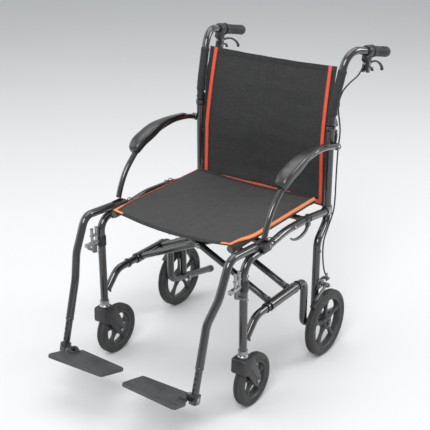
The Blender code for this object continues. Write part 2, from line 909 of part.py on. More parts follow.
def foot_place(side):
    """Local frame of the foot: z up the tube, y rearward along the plate."""
    return Matrix.Translation(foot_axis_point(0, side)) @ Matrix.Rotation(
        -FOOT_TILT, 4, "X"
    )


def footplate_axis(side):
    return foot_place(side) @ Vector((-side * FOOT_HINGE_IN, 0, FOOT_HINGE_UP))


def build_foot_tube(name, side, joints):
    place = foot_place(side)
    made = rod(
        f"{name}_foot_tube",
        foot_axis_point(-0.004, side),
        foot_axis_point(FOOT_TUBE_TOP_UP, side),
        FOOT_TUBE_R,
    )
    lug = block(
        f"{name}_foot_lug",
        (0, -0.0095, 0.0020),
        (-side * (FOOT_HINGE_IN + 0.006), 0.0095, 0.0180),
    )
    lug.data.transform(place)
    hole = bore(
        f"{name}_lug_bore",
        place @ Vector((-side * FOOT_HINGE_IN, -0.03, FOOT_HINGE_UP)),
        place @ Vector((-side * FOOT_HINGE_IN, 0.03, FOOT_HINGE_UP)),
        0.0034,
    )
    join(made, lug)
    keep(cut(made, hole), joints[f"{name}_foot"], "frame_paint")


def build_footplate(name, side, joints):
    """Moulded plate with two ears and the pin that it flips up on."""
    place = foot_place(side)
    notch = FOOT_HINGE_IN + 0.0085
    outline = rounded_outline(
        [
            ((-side * 0.187, -0.064), 0.010),
            ((-side * 0.004, -0.078), 0.010),
            ((-side * 0.004, -0.026), 0.006),
            ((-side * notch, -0.022), 0.003),
            ((-side * notch, 0.038), 0.006),
            ((-side * 0.189, 0.030), 0.010),
        ]
    )
    made = plate(f"{name}_footplate", outline, FOOTPLATE_T, place)
    for y in (-1, 1):
        ear = block(
            f"{name}_footplate_ear",
            (-side * (FOOT_HINGE_IN - 0.007), y * 0.0105, 0.0030),
            (-side * (notch + 0.008), y * 0.0175, FOOT_HINGE_UP + 0.007),
        )
        ear.data.transform(place)
        join(made, ear)
    ends = [
        place @ Vector((-side * FOOT_HINGE_IN, y, FOOT_HINGE_UP)) for y in (-0.014, 0.014)
    ]
    join(made, rod(f"{name}_footplate_pin", *ends, 0.0030))
    keep(made, joints[f"{name}_footplate"], "plate_plastic")


# ---- upper back, grips and brakes ------------------------------------------------
GRIP_R = 0.0155
GRIP_LENGTH = 0.104
GRIP_STEPS = 16
HANDLE_TOP = (0.236, 0.508, 0.884)
GRIP_X = 0.252


def handle_point(back, side=1, below=0.0):
    """A point on the handle's axis, so far back from its end, dropped square to it."""
    end_z = HANDLE_TOP[2] - (GRIP_END_STATION - HANDLE_TOP[1]) * math.tan(HANDLE_DROP)
    return Vector(
        (
            side * GRIP_X,
            GRIP_END_STATION - back * math.cos(HANDLE_DROP) - below * math.sin(HANDLE_DROP),
            end_z + back * math.sin(HANDLE_DROP) - below * math.cos(HANDLE_DROP),
        )
    )


def build_back_tube(name, side, joints):
    """Upper back post, leaning back and bent into the push handle."""
    stops = [
        ((CANE_HALF, BACK_STATION, BACK_HINGE_Z + RUN), 0),
        ((CANE_HALF + 0.001, BACK_STATION + 0.007, 0.735), 0.2),
        (HANDLE_TOP, 0.055),
        ((GRIP_X, *handle_point(GRIP_LENGTH + 0.035).yz), 0.1),
        (tuple(handle_point(0.004)), 0),
    ]
    path = mirrored(bent_path(stops), side)
    made = tube(f"{name}_back_tube", path, FRAME_TUBE_R)
    x = side * CANE_HALF
    for low, high in ((-0.0110, -0.0055), (0.0055, 0.0110)):
        lug = block(
            f"{name}_back_lug",
            (x + low, BACK_STATION + 0.002, BACK_HINGE_Z + 0.0020),
            (x + high, BACK_HINGE_STATION + 0.0026, BACK_HINGE_Z + 0.022),
        )
        join(made, lug, knuckle_rod(f"{name}_back_knuckle", side, low, high))
    keep(made, joints[f"{name}_back"], "frame_paint")
    build_grip(name, side, joints)


def build_grip(name, side, joints):
    """Rubber grip: a sleeve closed at its end, with a flange at the front."""
    socket_r = (FRAME_TUBE_R + TOUCH) / math.cos(math.pi / GRIP_STEPS)
    length = GRIP_LENGTH
    profile = [
        (0, 0),
        (GRIP_R - 0.003, 0),
        (GRIP_R, -0.003),
        (GRIP_R, -length + 0.004),
        (GRIP_R + 0.003, -length + 0.004),
        (GRIP_R + 0.003, -length),
        (socket_r, -length),
        (socket_r, -0.0035),
        (0, -0.0035),
    ]
    end = handle_point(0, side)
    axis = (end - handle_point(0.1, side)).normalized()
    made = turned(f"{name}_grip", profile, end, axis, GRIP_STEPS)
    keep(made, joints[f"{name}_back"], "rubber")


HOUSING_BACK = GRIP_LENGTH + 0.012  # housing's centre, from the handle's end
LEVER_DROP = 0.034


def brake_lever_axis(side):
    return handle_point(HOUSING_BACK - 0.001, side, LEVER_DROP)


def parking_catch_axis(side):
    return handle_point(HOUSING_BACK - 0.001, side, LEVER_DROP + 0.016)


def build_brake_housing(name, side, joints):
    """Clamp round the handle with two cheeks below it for the lever."""
    centre = handle_point(HOUSING_BACK, side)
    axis = (handle_point(0, side) - handle_point(0.1, side)).normalized()
    half = 0.008
    made = rod(
        f"{name}_brake_housing", centre - axis * half, centre + axis * half, 0.0155, 16
    )
    turn = Matrix.Translation(centre) @ Matrix.Rotation(-HANDLE_DROP, 4, "X")
    for x in (-1, 1):
        low, high = (x * 0.0042, -0.010, -0.060), (x * 0.0095, 0.008, -0.008)
        cheek = block(f"{name}_brake_cheek", low, high, 0.0015)
        cheek.data.transform(turn)
        join(made, cheek)
    web = block(f"{name}_brake_web", (-0.008, -0.0125, -0.055), (0.008, -0.0085, -0.010))
    web.data.transform(turn)
    join(made, web)
    hole = bore(
        f"{name}_clamp_bore", centre - axis * 0.03, centre + axis * 0.03, FRAME_TUBE_R + TOUCH
    )
    keep(cut(made, hole), joints[f"{name}_back"], "black_plastic")


def lever_blade(name, side, root, bends, half_x, thick):
    """A flat curved blade through points given as (reach back, drop) from its root."""
    rings = []
    path = [Vector((0, reach, -drop)) for reach, drop in bends]
    turn = Matrix.Translation(root) @ Matrix.Rotation(-HANDLE_DROP, 4, "X")
    for i, point in enumerate(path):
        ahead = path[min(i + 1, len(path) - 1)] - path[max(i - 1, 0)]
        up = Vector((1, 0, 0)).cross(ahead).normalized() * thick / 2
        rings.append(
            [
                turn @ (point + Vector((x * half_x, 0, 0)) + up * z)
                for x, z in ((-1, -1), (1, -1), (1, 1), (-1, 1))
            ]
        )
    return loft(name, rings)


def build_brake_lever(name, side, joints):
    root = brake_lever_axis(side)
    bends = [
        (-0.0055, 0.001),
        (0.006, 0.000),
        (0.022, -0.003),
        (0.042, -0.006),
        (0.064, -0.005),
        (0.084, 0.001),
        (0.099, 0.010),
        (0.104, 0.018),
    ]
    made = lever_blade(f"{name}_brake_lever", side, root, bends, 0.0038, 0.007)
    keep(made, joints[f"{name}_brake_lever"], "black_plastic")


def build_parking_catch(name, side, joints):
    root = parking_catch_axis(side)
    bends = [
        (-0.0050, 0.002),
        (0.008, 0.000),
        (0.020, -0.004),
        (0.032, -0.003),
        (0.040, 0.004),
    ]
    made = lever_blade(f"{name}_parking_catch", side, root, bends, 0.0038, 0.005)
    keep(made, joints[f"{name}_parking_catch"], "black_plastic")


BACK_LATCH_PIVOT = (BACK_STATION + 0.0215, BACK_HINGE_Z - 0.027)


def build_back_latch(name, side, joints):
    """Lever behind the back post that frees the fold."""
    x = side * CANE_HALF
    y, z = BACK_LATCH_PIVOT
    outline = rounded_outline(
        [
            ((y - 0.0065, z + 0.0100), 0),
            ((y + 0.0030, z + 0.0100), 0.002),
            ((y + 0.0070, z - 0.0100), 0.006),
            ((y + 0.0020, z - 0.0300), 0.004),
            ((y - 0.0040, z - 0.0290), 0.002),
            ((y - 0.0015, z - 0.0100), 0.006),
        ]
    )
    upright = Matrix(((0, 0, 1, x), (1, 0, 0, 0), (0, 1, 0, 0), (0, 0, 0, 1)))
    made = plate(f"{name}_back_latch", outline, 0.016, upright)
    keep(made, joints[f"{name}_back_latch"], "black_plastic")


# ---- wheel brakes and cables ------------------------------------------------------
BRAKE_ARM_X = REAR_WHEEL_X
BRAKE_ARM_PIVOT = (0.388, 0.2235)
SHOE_GAP = 0.004
SHOE_ANGLE = math.radians(118)  # round the rear wheel, from rearward over the top


def build_brake_bracket(name, side, joints):
    """Plate on the leg that carries the brake arm's pin and the cable stop."""
    y, z = BRAKE_ARM_PIVOT
    inner = side * (FRAME_HALF + FRAME_TUBE_R + TOUCH)
    low = (inner, LEG_STATION - 0.008, z - 0.012)
    high = (inner + side * 0.003, y + 0.014, z + 0.020)
    made = block(f"{name}_brake_bracket", low, high)
    pin = rod(
        f"{name}_brake_pin",
        (inner + side * 0.001, y, z),
        (side * (BRAKE_ARM_X + 0.012), y, z),
        0.0030,
    )
    stop = block(
        f"{name}_cable_stop",
        (inner + side * 0.001, y + 0.004, z + 0.014),
        (side * (BRAKE_ARM_X + 0.004), y + 0.014, z + 0.020),
    )
    keep(join(made, pin, stop), joints[f"{name}_frame"], "bright_steel")


def build_brake_arm(name, side, joints):
    """Arm with a curved rubber shoe held just off the tyre."""
    y, z = BRAKE_ARM_PIVOT
    x = side * BRAKE_ARM_X
    inner_r, outer_r = REAR_WHEEL_R + SHOE_GAP, REAR_WHEEL_R + SHOE_GAP + 0.010
    sweep = [SHOE_ANGLE + math.radians(a) for a in (-9, 0, 9, 16)]
    rim = [(math.cos(a), math.sin(a)) for a in sweep]
    shoe = [
        (REAR_AXLE_STATION + c * inner_r, REAR_WHEEL_R + s * inner_r) for c, s in rim
    ] + [
        (REAR_AXLE_STATION + c * outer_r, REAR_WHEEL_R + s * outer_r)
        for c, s in reversed(rim)
    ]
    upright = Matrix(((0, 0, 1, x), (1, 0, 0, 0), (0, 1, 0, 0), (0, 0, 0, 1)))
    made = plate(f"{name}_brake_arm", shoe, 0.020, upright)
    middle = Vector(
        (
            x,
            REAR_AXLE_STATION + math.cos(SHOE_ANGLE) * (outer_r - 0.002),
            REAR_WHEEL_R + math.sin(SHOE_ANGLE) * (outer_r - 0.002),
        )
    )
    pivot = Vector((x, y, z))
    half = Vector((0.0075, 0, 0))
    join(made, rod(f"{name}_brake_boss", pivot - half, pivot + half, 0.0070))
    join(made, rod(f"{name}_brake_strut", middle, pivot, 0.0045, 8))
    hole = bore(f"{name}_arm_bore", pivot - half * 3, pivot + half * 3, 0.0035)
    keep(cut(made, hole), joints[f"{name}_brake_arm"], "black_plastic")


def build_cable(name, side, joints):
    """Brake cable: handle, slack loop at the back's fold, down the post to the brake."""
    stop_y, stop_z = BRAKE_ARM_PIVOT[0] + 0.009, BRAKE_ARM_PIVOT[1] + 0.022
    leave = handle_point(HOUSING_BACK + 0.0150, 1, LEVER_DROP + 0.002)
    path = smooth_path(
        [
            tuple(leave),
            (0.248, 0.562, 0.804),
            (0.240, 0.528, 0.786),
            (0.234, 0.506, 0.762),
            (0.229, 0.498, 0.740),
            (0.227, 0.512, 0.722),
            (0.228, 0.516, 0.700),
            (0.232, 0.500, 0.676),
            (0.236, 0.486, 0.650),
            (0.238, 0.475, 0.610),
            (0.238, 0.473, 0.540),
            (0.238, 0.473, 0.460),
            (0.240, 0.462, 0.420),
            (0.245, 0.425, 0.384),
            (0.248, 0.398, 0.350),
            (0.250, 0.395, 0.300),
            (0.256, 0.396, 0.262),
            (REAR_WHEEL_X - 0.004, stop_y, stop_z),
        ],
        2,
    )
    made = tube(f"{name}_brake_cable", mirrored(path, side), CABLE_R, 2)
    keep(made, joints[f"{name}_frame"], "cable")


# ---- seat and back slings -----------------------------------------------------------
SLING_T = 0.006


def build_slings(joints):
    inner = SEAT_RAIL_HALF - SEAT_RAIL_R - 0.001
    low = (-inner, SEAT_FRONT - 0.003, SEAT_RAIL_Z + 0.006)
    high = (inner, SEAT_FRONT + SEAT_DEPTH, SEAT_RAIL_Z + 0.006 + SLING_T)
    keep(block("seat_sling", low, high), joints["brace_a"], "fabric")
    # side view of the back sling, drawn down its rear face and up its front face
    lean = (HANDLE_TOP[1] - BACK_STATION - 0.007) / (HANDLE_TOP[2] - 0.735)
    top_y = BACK_STATION + 0.007 + lean * (BACK_TOP_Z - 0.735)
    half = SLING_T / 2
    side_view = [
        (top_y - half, BACK_TOP_Z),
        (BACK_STATION + 0.005 - half, 0.735),
        (BACK_STATION - half, 0.685),
        (BACK_STATION - half, SEAT_RAIL_Z - 0.010),
        (BACK_STATION + half, SEAT_RAIL_Z - 0.010),
        (BACK_STATION + half, 0.685),
        (BACK_STATION + 0.005 + half, 0.735),
        (top_y + half, BACK_TOP_Z),
    ]
    width = 2 * (CANE_HALF - FRAME_TUBE_R - 0.001)
    upright = Matrix(((0, 0, 1, 0), (1, 0, 0, 0), (0, 1, 0, 0), (0, 0, 0, 1)))
    back = plate("back_sling", side_view, width, upright)
    keep(back, joints["left_back"], "fabric")


# ---- assembly -----------------------------------------------------------------------
def centre_footprint():
    """Slide the chair along Y until its bounding box is centred on the origin."""
    bpy.context.view_layer.update()
    graph = bpy.context.evaluated_depsgraph_get()
    reach = []
    for obj in PARTS.objects:
        if obj.type == "MESH":
            done = obj.evaluated_get(graph)
            reach += [(done.matrix_world @ v.co).y for v in done.data.vertices]
    CHAIR.location.y = -(min(reach) + max(reach)) / 2


def main():
    joints = make_joints()
    for name, side in SIDES:
        build_side_tube(name, side, joints)
        build_rear_post(name, side, joints)
        build_lower_rail(name, side, joints)
        build_rear_wheel(name, side, joints)
        build_caster(name, side, joints)
        build_arm(name, side, joints)
        build_hanger(name, side, joints)
        build_foot_tube(name, side, joints)
        build_footplate(name, side, joints)
        build_back_tube(name, side, joints)
        build_brake_housing(name, side, joints)
        build_brake_lever(name, side, joints)
        build_parking_catch(name, side, joints)
        build_back_latch(name, side, joints)
        build_brake_bracket(name, side, joints)
        build_brake_arm(name, side, joints)
        build_cable(name, side, joints)
    build_brace("a", 1, BRACE_A_STATIONS, joints)
    build_brace("b", -1, BRACE_B_STATIONS, joints)
    build_slings(joints)
    centre_footprint()


main()
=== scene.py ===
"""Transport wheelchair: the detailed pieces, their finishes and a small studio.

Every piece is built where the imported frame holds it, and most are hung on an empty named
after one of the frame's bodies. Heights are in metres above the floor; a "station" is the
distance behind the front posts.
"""

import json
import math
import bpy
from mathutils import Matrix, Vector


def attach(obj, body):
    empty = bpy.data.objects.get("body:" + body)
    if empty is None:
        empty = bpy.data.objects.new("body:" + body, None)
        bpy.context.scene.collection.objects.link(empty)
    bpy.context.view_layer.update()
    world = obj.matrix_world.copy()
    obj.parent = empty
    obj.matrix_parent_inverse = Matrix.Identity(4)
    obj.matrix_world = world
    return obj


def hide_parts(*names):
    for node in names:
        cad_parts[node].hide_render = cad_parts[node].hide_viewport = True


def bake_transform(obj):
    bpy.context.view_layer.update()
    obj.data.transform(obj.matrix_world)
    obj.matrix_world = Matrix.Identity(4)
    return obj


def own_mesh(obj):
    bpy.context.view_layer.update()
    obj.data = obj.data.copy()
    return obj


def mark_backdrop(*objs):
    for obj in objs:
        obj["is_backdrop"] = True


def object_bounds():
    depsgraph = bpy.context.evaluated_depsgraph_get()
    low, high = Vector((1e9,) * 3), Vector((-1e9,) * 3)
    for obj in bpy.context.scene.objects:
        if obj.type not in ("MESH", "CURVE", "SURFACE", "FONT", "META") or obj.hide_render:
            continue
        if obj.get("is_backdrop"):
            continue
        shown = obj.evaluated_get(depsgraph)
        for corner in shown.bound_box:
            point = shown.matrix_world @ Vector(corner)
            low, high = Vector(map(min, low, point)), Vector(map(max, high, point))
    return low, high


bl_info = {
    "name": "Transport Wheelchair",
    "version": (1, 0, 0),
    "blender": (4, 5, 0),
    "location": "View3D > Sidebar > Wheelchair",
    "description": "Builds a folding transport wheelchair piece by piece",
    "category": "Add Mesh",
}

import bmesh
import bpy
from bpy.props import FloatProperty, FloatVectorProperty, IntProperty, PointerProperty
from mathutils import Matrix, Vector, noise

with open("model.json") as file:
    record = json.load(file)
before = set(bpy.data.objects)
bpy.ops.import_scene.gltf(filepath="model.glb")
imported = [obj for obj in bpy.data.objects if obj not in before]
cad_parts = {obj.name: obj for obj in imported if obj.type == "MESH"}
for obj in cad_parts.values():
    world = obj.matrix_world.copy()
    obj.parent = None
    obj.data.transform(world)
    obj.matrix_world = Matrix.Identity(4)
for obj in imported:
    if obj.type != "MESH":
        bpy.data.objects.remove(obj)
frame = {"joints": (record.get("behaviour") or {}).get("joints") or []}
CAD_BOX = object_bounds()
JOINTS = {joint["name"]: joint for joint in frame["joints"]}


def joint_place(name):
    return Vector(JOINTS[name]["pos_m"])


# ---- sizes shared with the frame ------------------------------------------------
FRONT_Y = joint_place("left_caster_swivel").y  # where station 0 is
FRAME_HALF = joint_place("left_caster_swivel").x
CANE_HALF = joint_place("left_back_fold").x
HINGE_RAIL_Z = joint_place("fold").z
PIVOT = joint_place("scissor")
BACK_STATION = 0.452
LEG_STATION = 0.375
SEAT_RAIL_HALF = 0.193
SEAT_RAIL_Z = 0.462
SEAT_FRONT = 0.005
SEAT_REAR = 0.410
BACK_HINGE = joint_place("left_back_fold")
TUBE_R = 0.011
SNUG_R = 0.0111  # bore of a collar that sits on the frame tube
ARM_TUBE_R = 0.0080
BRACE_R = 0.0095
CABLE_R = 0.0022
HANDLE_DROP = math.radians(12)
HANDLE_TOP = (0.236, 0.508, 0.884)
GRIP_X = 0.252
GRIP_END = 0.716
GRIP_LENGTH = 0.104
FOOT_TILT = math.radians(16)
FOOT_AXIS = (0.220, -0.190, 0.118)
SIDES = (("left", 1), ("right", -1))


def at(x, station, z):
    return Vector((x, FRONT_Y + station, z))


# ---- settings -------------------------------------------------------------------
class WheelchairFinish(bpy.types.PropertyGroup):
    paint: FloatVectorProperty(
        name="Frame paint",
        description="Colour of the powder-coated tubes",
        subtype="COLOR",
        size=3,
        min=0,
        max=1,
        default=(0.010, 0.010, 0.011),
    )
    # the back panels and cane sleeves take this colour darkened to 55 %, as painted shade
    cloth: FloatVectorProperty(
        name="Upholstery",
        description="Colour of the seat and back cloth",
        subtype="COLOR",
        size=3,
        min=0,
        max=1,
        default=(0.026, 0.0265, 0.026),
    )
    ribbon: FloatVectorProperty(
        name="Edge ribbon",
        description="Colour of the ribbon sewn along the upholstery's edges",
        subtype="COLOR",
        size=3,
        min=0,
        max=1,
        default=(0.66, 0.070, 0.020),
    )
    # Seat ribbon colour: the edge ribbon painted lighter and yellower, a painted highlight
    # where the satin faces the overhead lamps.
    seat_ribbon: FloatVectorProperty(
        name="Seat ribbon",
        description="Colour of the ribbon along the seat, which turns up to the light",
        subtype="COLOR",
        size=3,
        min=0,
        max=1,
        default=(0.80, 0.235, 0.055),
    )
    # the footplates take this colour lightened by half, as a painted highlight
    plastic: FloatVectorProperty(
        name="Wheel plastic",
        description="Colour of the moulded wheels and footplates",
        subtype="COLOR",
        size=3,
        min=0,
        max=1,
        default=(0.036, 0.037, 0.038),
    )


class WheelchairSoftGoods(bpy.types.PropertyGroup):
    seat_sag: FloatProperty(
        name="Seat sag",
        description="How far the seat hangs below its rails at the middle",
        subtype="DISTANCE",
        unit="LENGTH",
        min=0,
        max=0.05,
        default=0.015,
    )
    back_bow: FloatProperty(
        name="Back bow",
        description="How far the back panel bows rearward at the middle",
        subtype="DISTANCE",
        unit="LENGTH",
        min=0,
        max=0.03,
        default=0.010,
    )
    ribbon_width: FloatProperty(
        name="Ribbon width",
        description="Width of the sewn edge ribbon",
        subtype="DISTANCE",
        unit="LENGTH",
        min=0.004,
        max=0.02,
        default=0.0115,
    )


class WheelchairRunning(bpy.types.PropertyGroup):
    spokes: IntProperty(
        name="Spokes",
        description="Spokes in each moulded wheel",
        min=3,
        max=9,
        default=5,
    )
    tread_blocks: IntProperty(
        name="Tread blocks",
        description="Grooves across each rear tyre",
        min=12,
        max=90,
        default=54,
    )


class WheelchairStage(bpy.types.PropertyGroup):
    floor: FloatVectorProperty(
        name="Floor",
        description="Colour of the floor and backdrop",
        subtype="COLOR",
        size=3,
        min=0,
        max=1,
        default=(0.66, 0.665, 0.67),
    )
    lamp_level: FloatProperty(
        name="Lamp level",
        description="Scale of all the studio lamps",
        min=0.1,
        max=4,
        default=1.0,
    )
    lens: FloatProperty(
        name="Lens",
        description="Focal length on a 36 mm sensor, in millimetres",
        min=20,
        max=200,
        default=81.56,
    )


# ---- mesh helpers ---------------------------------------------------------------
def paint_faces(faces, index):
    for face in faces:
        face.material_index = index


def ring_face(bm, ring, reverse=False):
    return bm.faces.new(list(reversed(ring)) if reverse else ring)


def skin_rows(bm, rows, mat=0, closed=True, cap=True):
    """Faces between rows of vertices, with caps on the first and last row."""
    made = []
    count = len(rows[0])
    reach = count if closed else count - 1
    for a, b in zip(rows, rows[1:]):
        for i in range(reach):
            j = (i + 1) % count
            made.append(bm.faces.new((a[i], a[j], b[j], b[i])))
    if cap:
        made.append(ring_face(bm, rows[0], True))
        made.append(ring_face(bm, rows[-1]))
    paint_faces(made, mat)
    return made


def loft(bm, rings, mat=0, cap=True, closed=True):
    rows = [[bm.verts.new(p) for p in ring] for ring in rings]
    return skin_rows(bm, rows, mat, closed, cap)


def path_frames(path):
    """A steady pair of cross directions at each point of a path."""
    count = len(path)
    along = [
        (path[min(i + 1, count - 1)] - path[max(i - 1, 0)]).normalized()
        for i in range(count)
    ]
    guide = Vector((0, 0, 1)) if abs(along[0].z) < 0.9 else Vector((0, 1, 0))
    across = along[0].cross(guide).normalized()
    frames = []
    for direction in along:
        across = (across - direction * across.dot(direction)).normalized()
        frames.append((across, direction.cross(across)))
    return frames


def sweep(bm, path, radius, sides=24, mat=0, cap=True):
    """A round tube along a path. The radius may be one value or one for each point."""
    path = [Vector(p) for p in path]
    radii = radius if isinstance(radius, (list, tuple)) else [radius] * len(path)
    rings = []
    for point, size, (u, v) in zip(path, radii, path_frames(path)):
        ring = []
        for i in range(sides):
            turn = math.tau * i / sides
            ring.append(point + (u * math.cos(turn) + v * math.sin(turn)) * size)
        rings.append(ring)
    return loft(bm, rings, mat, cap)


def turn_frame(axis):
    return Vector(axis).to_track_quat("Z", "Y").to_matrix().to_4x4()


def turned(bm, profile, place, axis, steps=40, mat=0, closed=False):
    """A profile of (radius, height) turned round an axis."""
    turn = Matrix.Translation(Vector(place)) @ turn_frame(axis)
    rows = []
    for r, h in profile:
        if r < 1e-6:
            rows.append([bm.verts.new(turn @ Vector((0, 0, h)))])
        else:
            rows.append(
                [
                    bm.verts.new(
                        turn
                        @ Vector(
                            (
                                r * math.cos(math.tau * i / steps),
                                r * math.sin(math.tau * i / steps),
                                h,
                            )
                        )
                    )
                    for i in range(steps)
                ]
            )
    made = []
    pairs = list(zip(rows, rows[1:]))
    if closed:
        pairs.append((rows[-1], rows[0]))
    for a, b in pairs:
        for i in range(steps):
            j = (i + 1) % steps
            if len(a) == 1 and len(b) == 1:
                continue
            if len(a) == 1:
                made.append(bm.faces.new((a[0], b[i], b[j])))
            elif len(b) == 1:
                made.append(bm.faces.new((a[i], b[0], a[j])))
            else:
                made.append(bm.faces.new((a[i], b[i], b[j], a[j])))
    if not closed:
        for row in (rows[0], rows[-1]):
            if len(row) > 1:
                made.append(bm.faces.new(row))
    paint_faces(made, mat)
    return made


def rod(bm, start, end, radius, sides=20, mat=0, round_end=0.0):
    """A straight bar whose ends may be rounded over."""
    start, end = Vector(start), Vector(end)
    length = (end - start).length
    edge = min(round_end, radius * 0.9, length * 0.4)
    if edge:
        profile = [(0, 0), (radius - edge, 0), (radius - edge * 0.3, edge * 0.3)]
        profile += [(radius, edge), (radius, length - edge)]
        profile += [(radius - edge * 0.3, length - edge * 0.3)]
        profile += [(radius - edge, length), (0, length)]
    else:
        profile = [(0, 0), (radius, 0), (radius, length), (0, length)]
    return turned(bm, profile, start, end - start, sides, mat)


def block(bm, low, high, edge=0.001, place=None, mat=0):
    """A box between two corners with its edges rounded over."""
    low, high = Vector(low), Vector(high)
    middle, size = (low + high) / 2, high - low
    scale = Matrix.Diagonal((abs(size.x), abs(size.y), abs(size.z), 1))
    spot = Matrix.Translation(middle) @ scale
    if place is not None:
        spot = place @ spot
    cube = bmesh.ops.create_cube(bm, size=1.0, matrix=spot)
    verts = cube["verts"]
    faces = list({face for vert in verts for face in vert.link_faces})
    if edge:
        edges = list({e for vert in verts for e in vert.link_edges})
        done = bmesh.ops.bevel(
            bm, geom=edges, offset=edge, segments=2, affect="EDGES", profile=0.5
        )
        faces = [f for f in faces if f.is_valid] + done["faces"]
    paint_faces(faces, mat)
    return faces


def inset_ring(outline, amount):
    """The anticlockwise outline moved inward by so much."""
    ring = []
    for i, (x, y) in enumerate(outline):
        before, after = outline[i - 1], outline[(i + 1) % len(outline)]
        along = Vector((after[0] - before[0], after[1] - before[1])).normalized()
        ring.append((x - along.y * amount, y + along.x * amount))
    return ring


def slab(bm, outline, thickness, place, edge=0.0, mat=0):
    """An outline in the local XY plane, extruded about it, with rounded rims."""
    outline, half = ordered(outline), thickness / 2
    layers = [(0.0, -half), (0.0, half)]
    if edge:
        layers = [
            (edge, -half),
            (edge * 0.3, -half + edge * 0.3),
            (0.0, -half + edge),
            (0.0, half - edge),
            (edge * 0.3, half - edge * 0.3),
            (edge, half),
        ]
    rings = [
        [place @ Vector((x, y, z)) for x, y in inset_ring(outline, amount)]
        for amount, z in layers
    ]
    return loft(bm, rings, mat)


def ring_turns(outline):
    """Twice the outline's signed area."""
    return sum(
        a[0] * b[1] - b[0] * a[1] for a, b in zip(outline, outline[1:] + outline[:1])
    )


def ordered(outline):
    """The outline, turned to run anticlockwise."""
    return outline if ring_turns(outline) > 0 else list(reversed(outline))


def arc_corner(before, corner, after, radius, steps):
    """Points that round one corner of a path with an arc."""
    back, ahead = (before - corner).normalized(), (after - corner).normalized()
    half = back.angle(ahead) / 2
    reach = radius / math.tan(half)
    centre = corner + (back + ahead).normalized() * (radius / math.sin(half))
    first, last = corner + back * reach - centre, corner + ahead * reach - centre
    swing = first.angle(last)
    return [
        centre
        + (
            first * math.sin(swing * (1 - i / steps)) + last * math.sin(swing * i / steps)
        )
        / math.sin(swing)
        for i in range(steps + 1)
    ]


def bent_path(stops, steps=10):
    """Straight runs with a rounded bend at each middle stop: (point, radius)."""
    points = [Vector(point) for point, _ in stops]
    path = [points[0]]
    for i in range(1, len(points) - 1):
        path += arc_corner(points[i - 1], points[i], points[i + 1], stops[i][1], steps)
    return path + [points[-1]]


def smooth_path(points, steps=6):
    """A Catmull-Rom curve through the points."""
    points = [Vector(p) for p in points]
    ends = [2 * points[0] - points[1], *points, 2 * points[-1] - points[-2]]
    path = []
    for a, b, c, d in zip(ends, ends[1:], ends[2:], ends[3:]):
        for i in range(steps):
            t = i / steps
            path.append(
                0.5
                * (
                    2 * b
                    + (c - a) * t
                    + (2 * a - 5 * b + 4 * c - d) * t**2
                    + (3 * b - a - 3 * c + d) * t**3
                )
            )
    return path + [points[-1]]


def placed(path, side):
    """A path given as (x, station, height), moved into the frame on one side."""
    return [at(p[0] * side, p[1], p[2]) for p in path]


def rounded_outline(stops, steps=6):
    """A closed outline of ((x, y), corner radius) stops, running anticlockwise."""
    points = [Vector((*point, 0)) for point, _ in stops]
    outline = []
    for i, (_, radius) in enumerate(stops):
        if radius:
            ring = (points[i - 1], points[i], points[(i + 1) % len(points)])
            outline += [(p.x, p.y) for p in arc_corner(*ring, radius, steps)]
        else:
            outline.append((points[i].x, points[i].y))
    return ordered(outline)


def upright(x):
    """Places an outline drawn as (station, height) in a side view at this x."""
    return Matrix(((0, 0, 1, x), (1, 0, 0, FRONT_Y), (0, 1, 0, 0), (0, 0, 0, 1)))


def weld_bead(bm, centre, axis, radius, bead=0.0022, mat=0):
    """A ring of overlapping weld ripples round a tube."""
    turn = Matrix.Translation(Vector(centre)) @ turn_frame(axis)
    path, sizes = [], []
    steps = 40
    for i in range(steps + 1):
        a = math.tau * i / steps
        path.append(turn @ Vector((radius * math.cos(a), radius * math.sin(a), 0)))
        sizes.append(bead * (1 + 0.18 * math.sin(a * 14)))
    rings = []
    for i, (point, size) in enumerate(zip(path[:-1], sizes)):
        ahead = (path[i + 1] - path[i - 1 if i else steps - 1]).normalized()
        out = (point - turn.translation).normalized()
        up = ahead.cross(out)
        rings.append(
            [
                point
                + (out * math.cos(math.tau * k / 8) + up * math.sin(math.tau * k / 8))
                * size
                for k in range(8)
            ]
        )
    rows = [[bm.verts.new(p) for p in ring] for ring in rings]
    made = []
    for a, b in zip(rows, rows[1:] + rows[:1]):
        for i in range(8):
            j = (i + 1) % 8
            made.append(bm.faces.new((a[i], a[j], b[j], b[i])))
    paint_faces(made, mat)
    return made


def bolt(bm, place, axis, radius, height, mat=0):
    """A washer and a domed head with a six-sided socket."""
    washer = radius * 1.35
    profile = [(0, 0), (washer, 0), (washer, height * 0.22), (radius, height * 0.24)]
    profile += [(radius, height * 0.55), (radius * 0.86, height * 0.86)]
    profile += [(radius * 0.55, height), (radius * 0.5, height)]
    profile += [(radius * 0.48, height * 0.6), (0, height * 0.6)]
    return turned(bm, profile, place, axis, 24, mat)


def nut(bm, place, axis, radius, height, mat=0):
    """A six-sided nut with a short threaded end."""
    turned(bm, [(0, 0), (radius, 0), (radius, height), (0, height)], place, axis, 6, mat)
    axis = Vector(axis).normalized()
    tip = Vector(place) + axis * height
    rod(bm, tip - axis * 0.001, tip + axis * height * 0.35, radius * 0.5, 16, mat, 0.0006)


def piece(name, bm, materials, body, stands_for=(), crease=38, smooth=True):
    """Finish a mesh: name it, give it its materials and hang it on a body."""
    bmesh.ops.recalc_face_normals(bm, faces=bm.faces)
    limit = math.radians(crease)
    for face in bm.faces:
        face.smooth = smooth
    for edge in bm.edges:
        if len(edge.link_faces) == 2 and edge.calc_face_angle(0) > limit:
            edge.smooth = False
    mesh = bpy.data.meshes.new(name)
    bm.to_mesh(mesh)
    bm.free()
    obj = bpy.data.objects.new(name, mesh)
    bpy.context.scene.collection.objects.link(obj)
    for material in materials:
        mesh.materials.append(material)
    if body:
        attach(obj, body)
    if stands_for:
        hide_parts(*stands_for)
    return obj


# ---- finishes -------------------------------------------------------------------
MATERIALS = {}


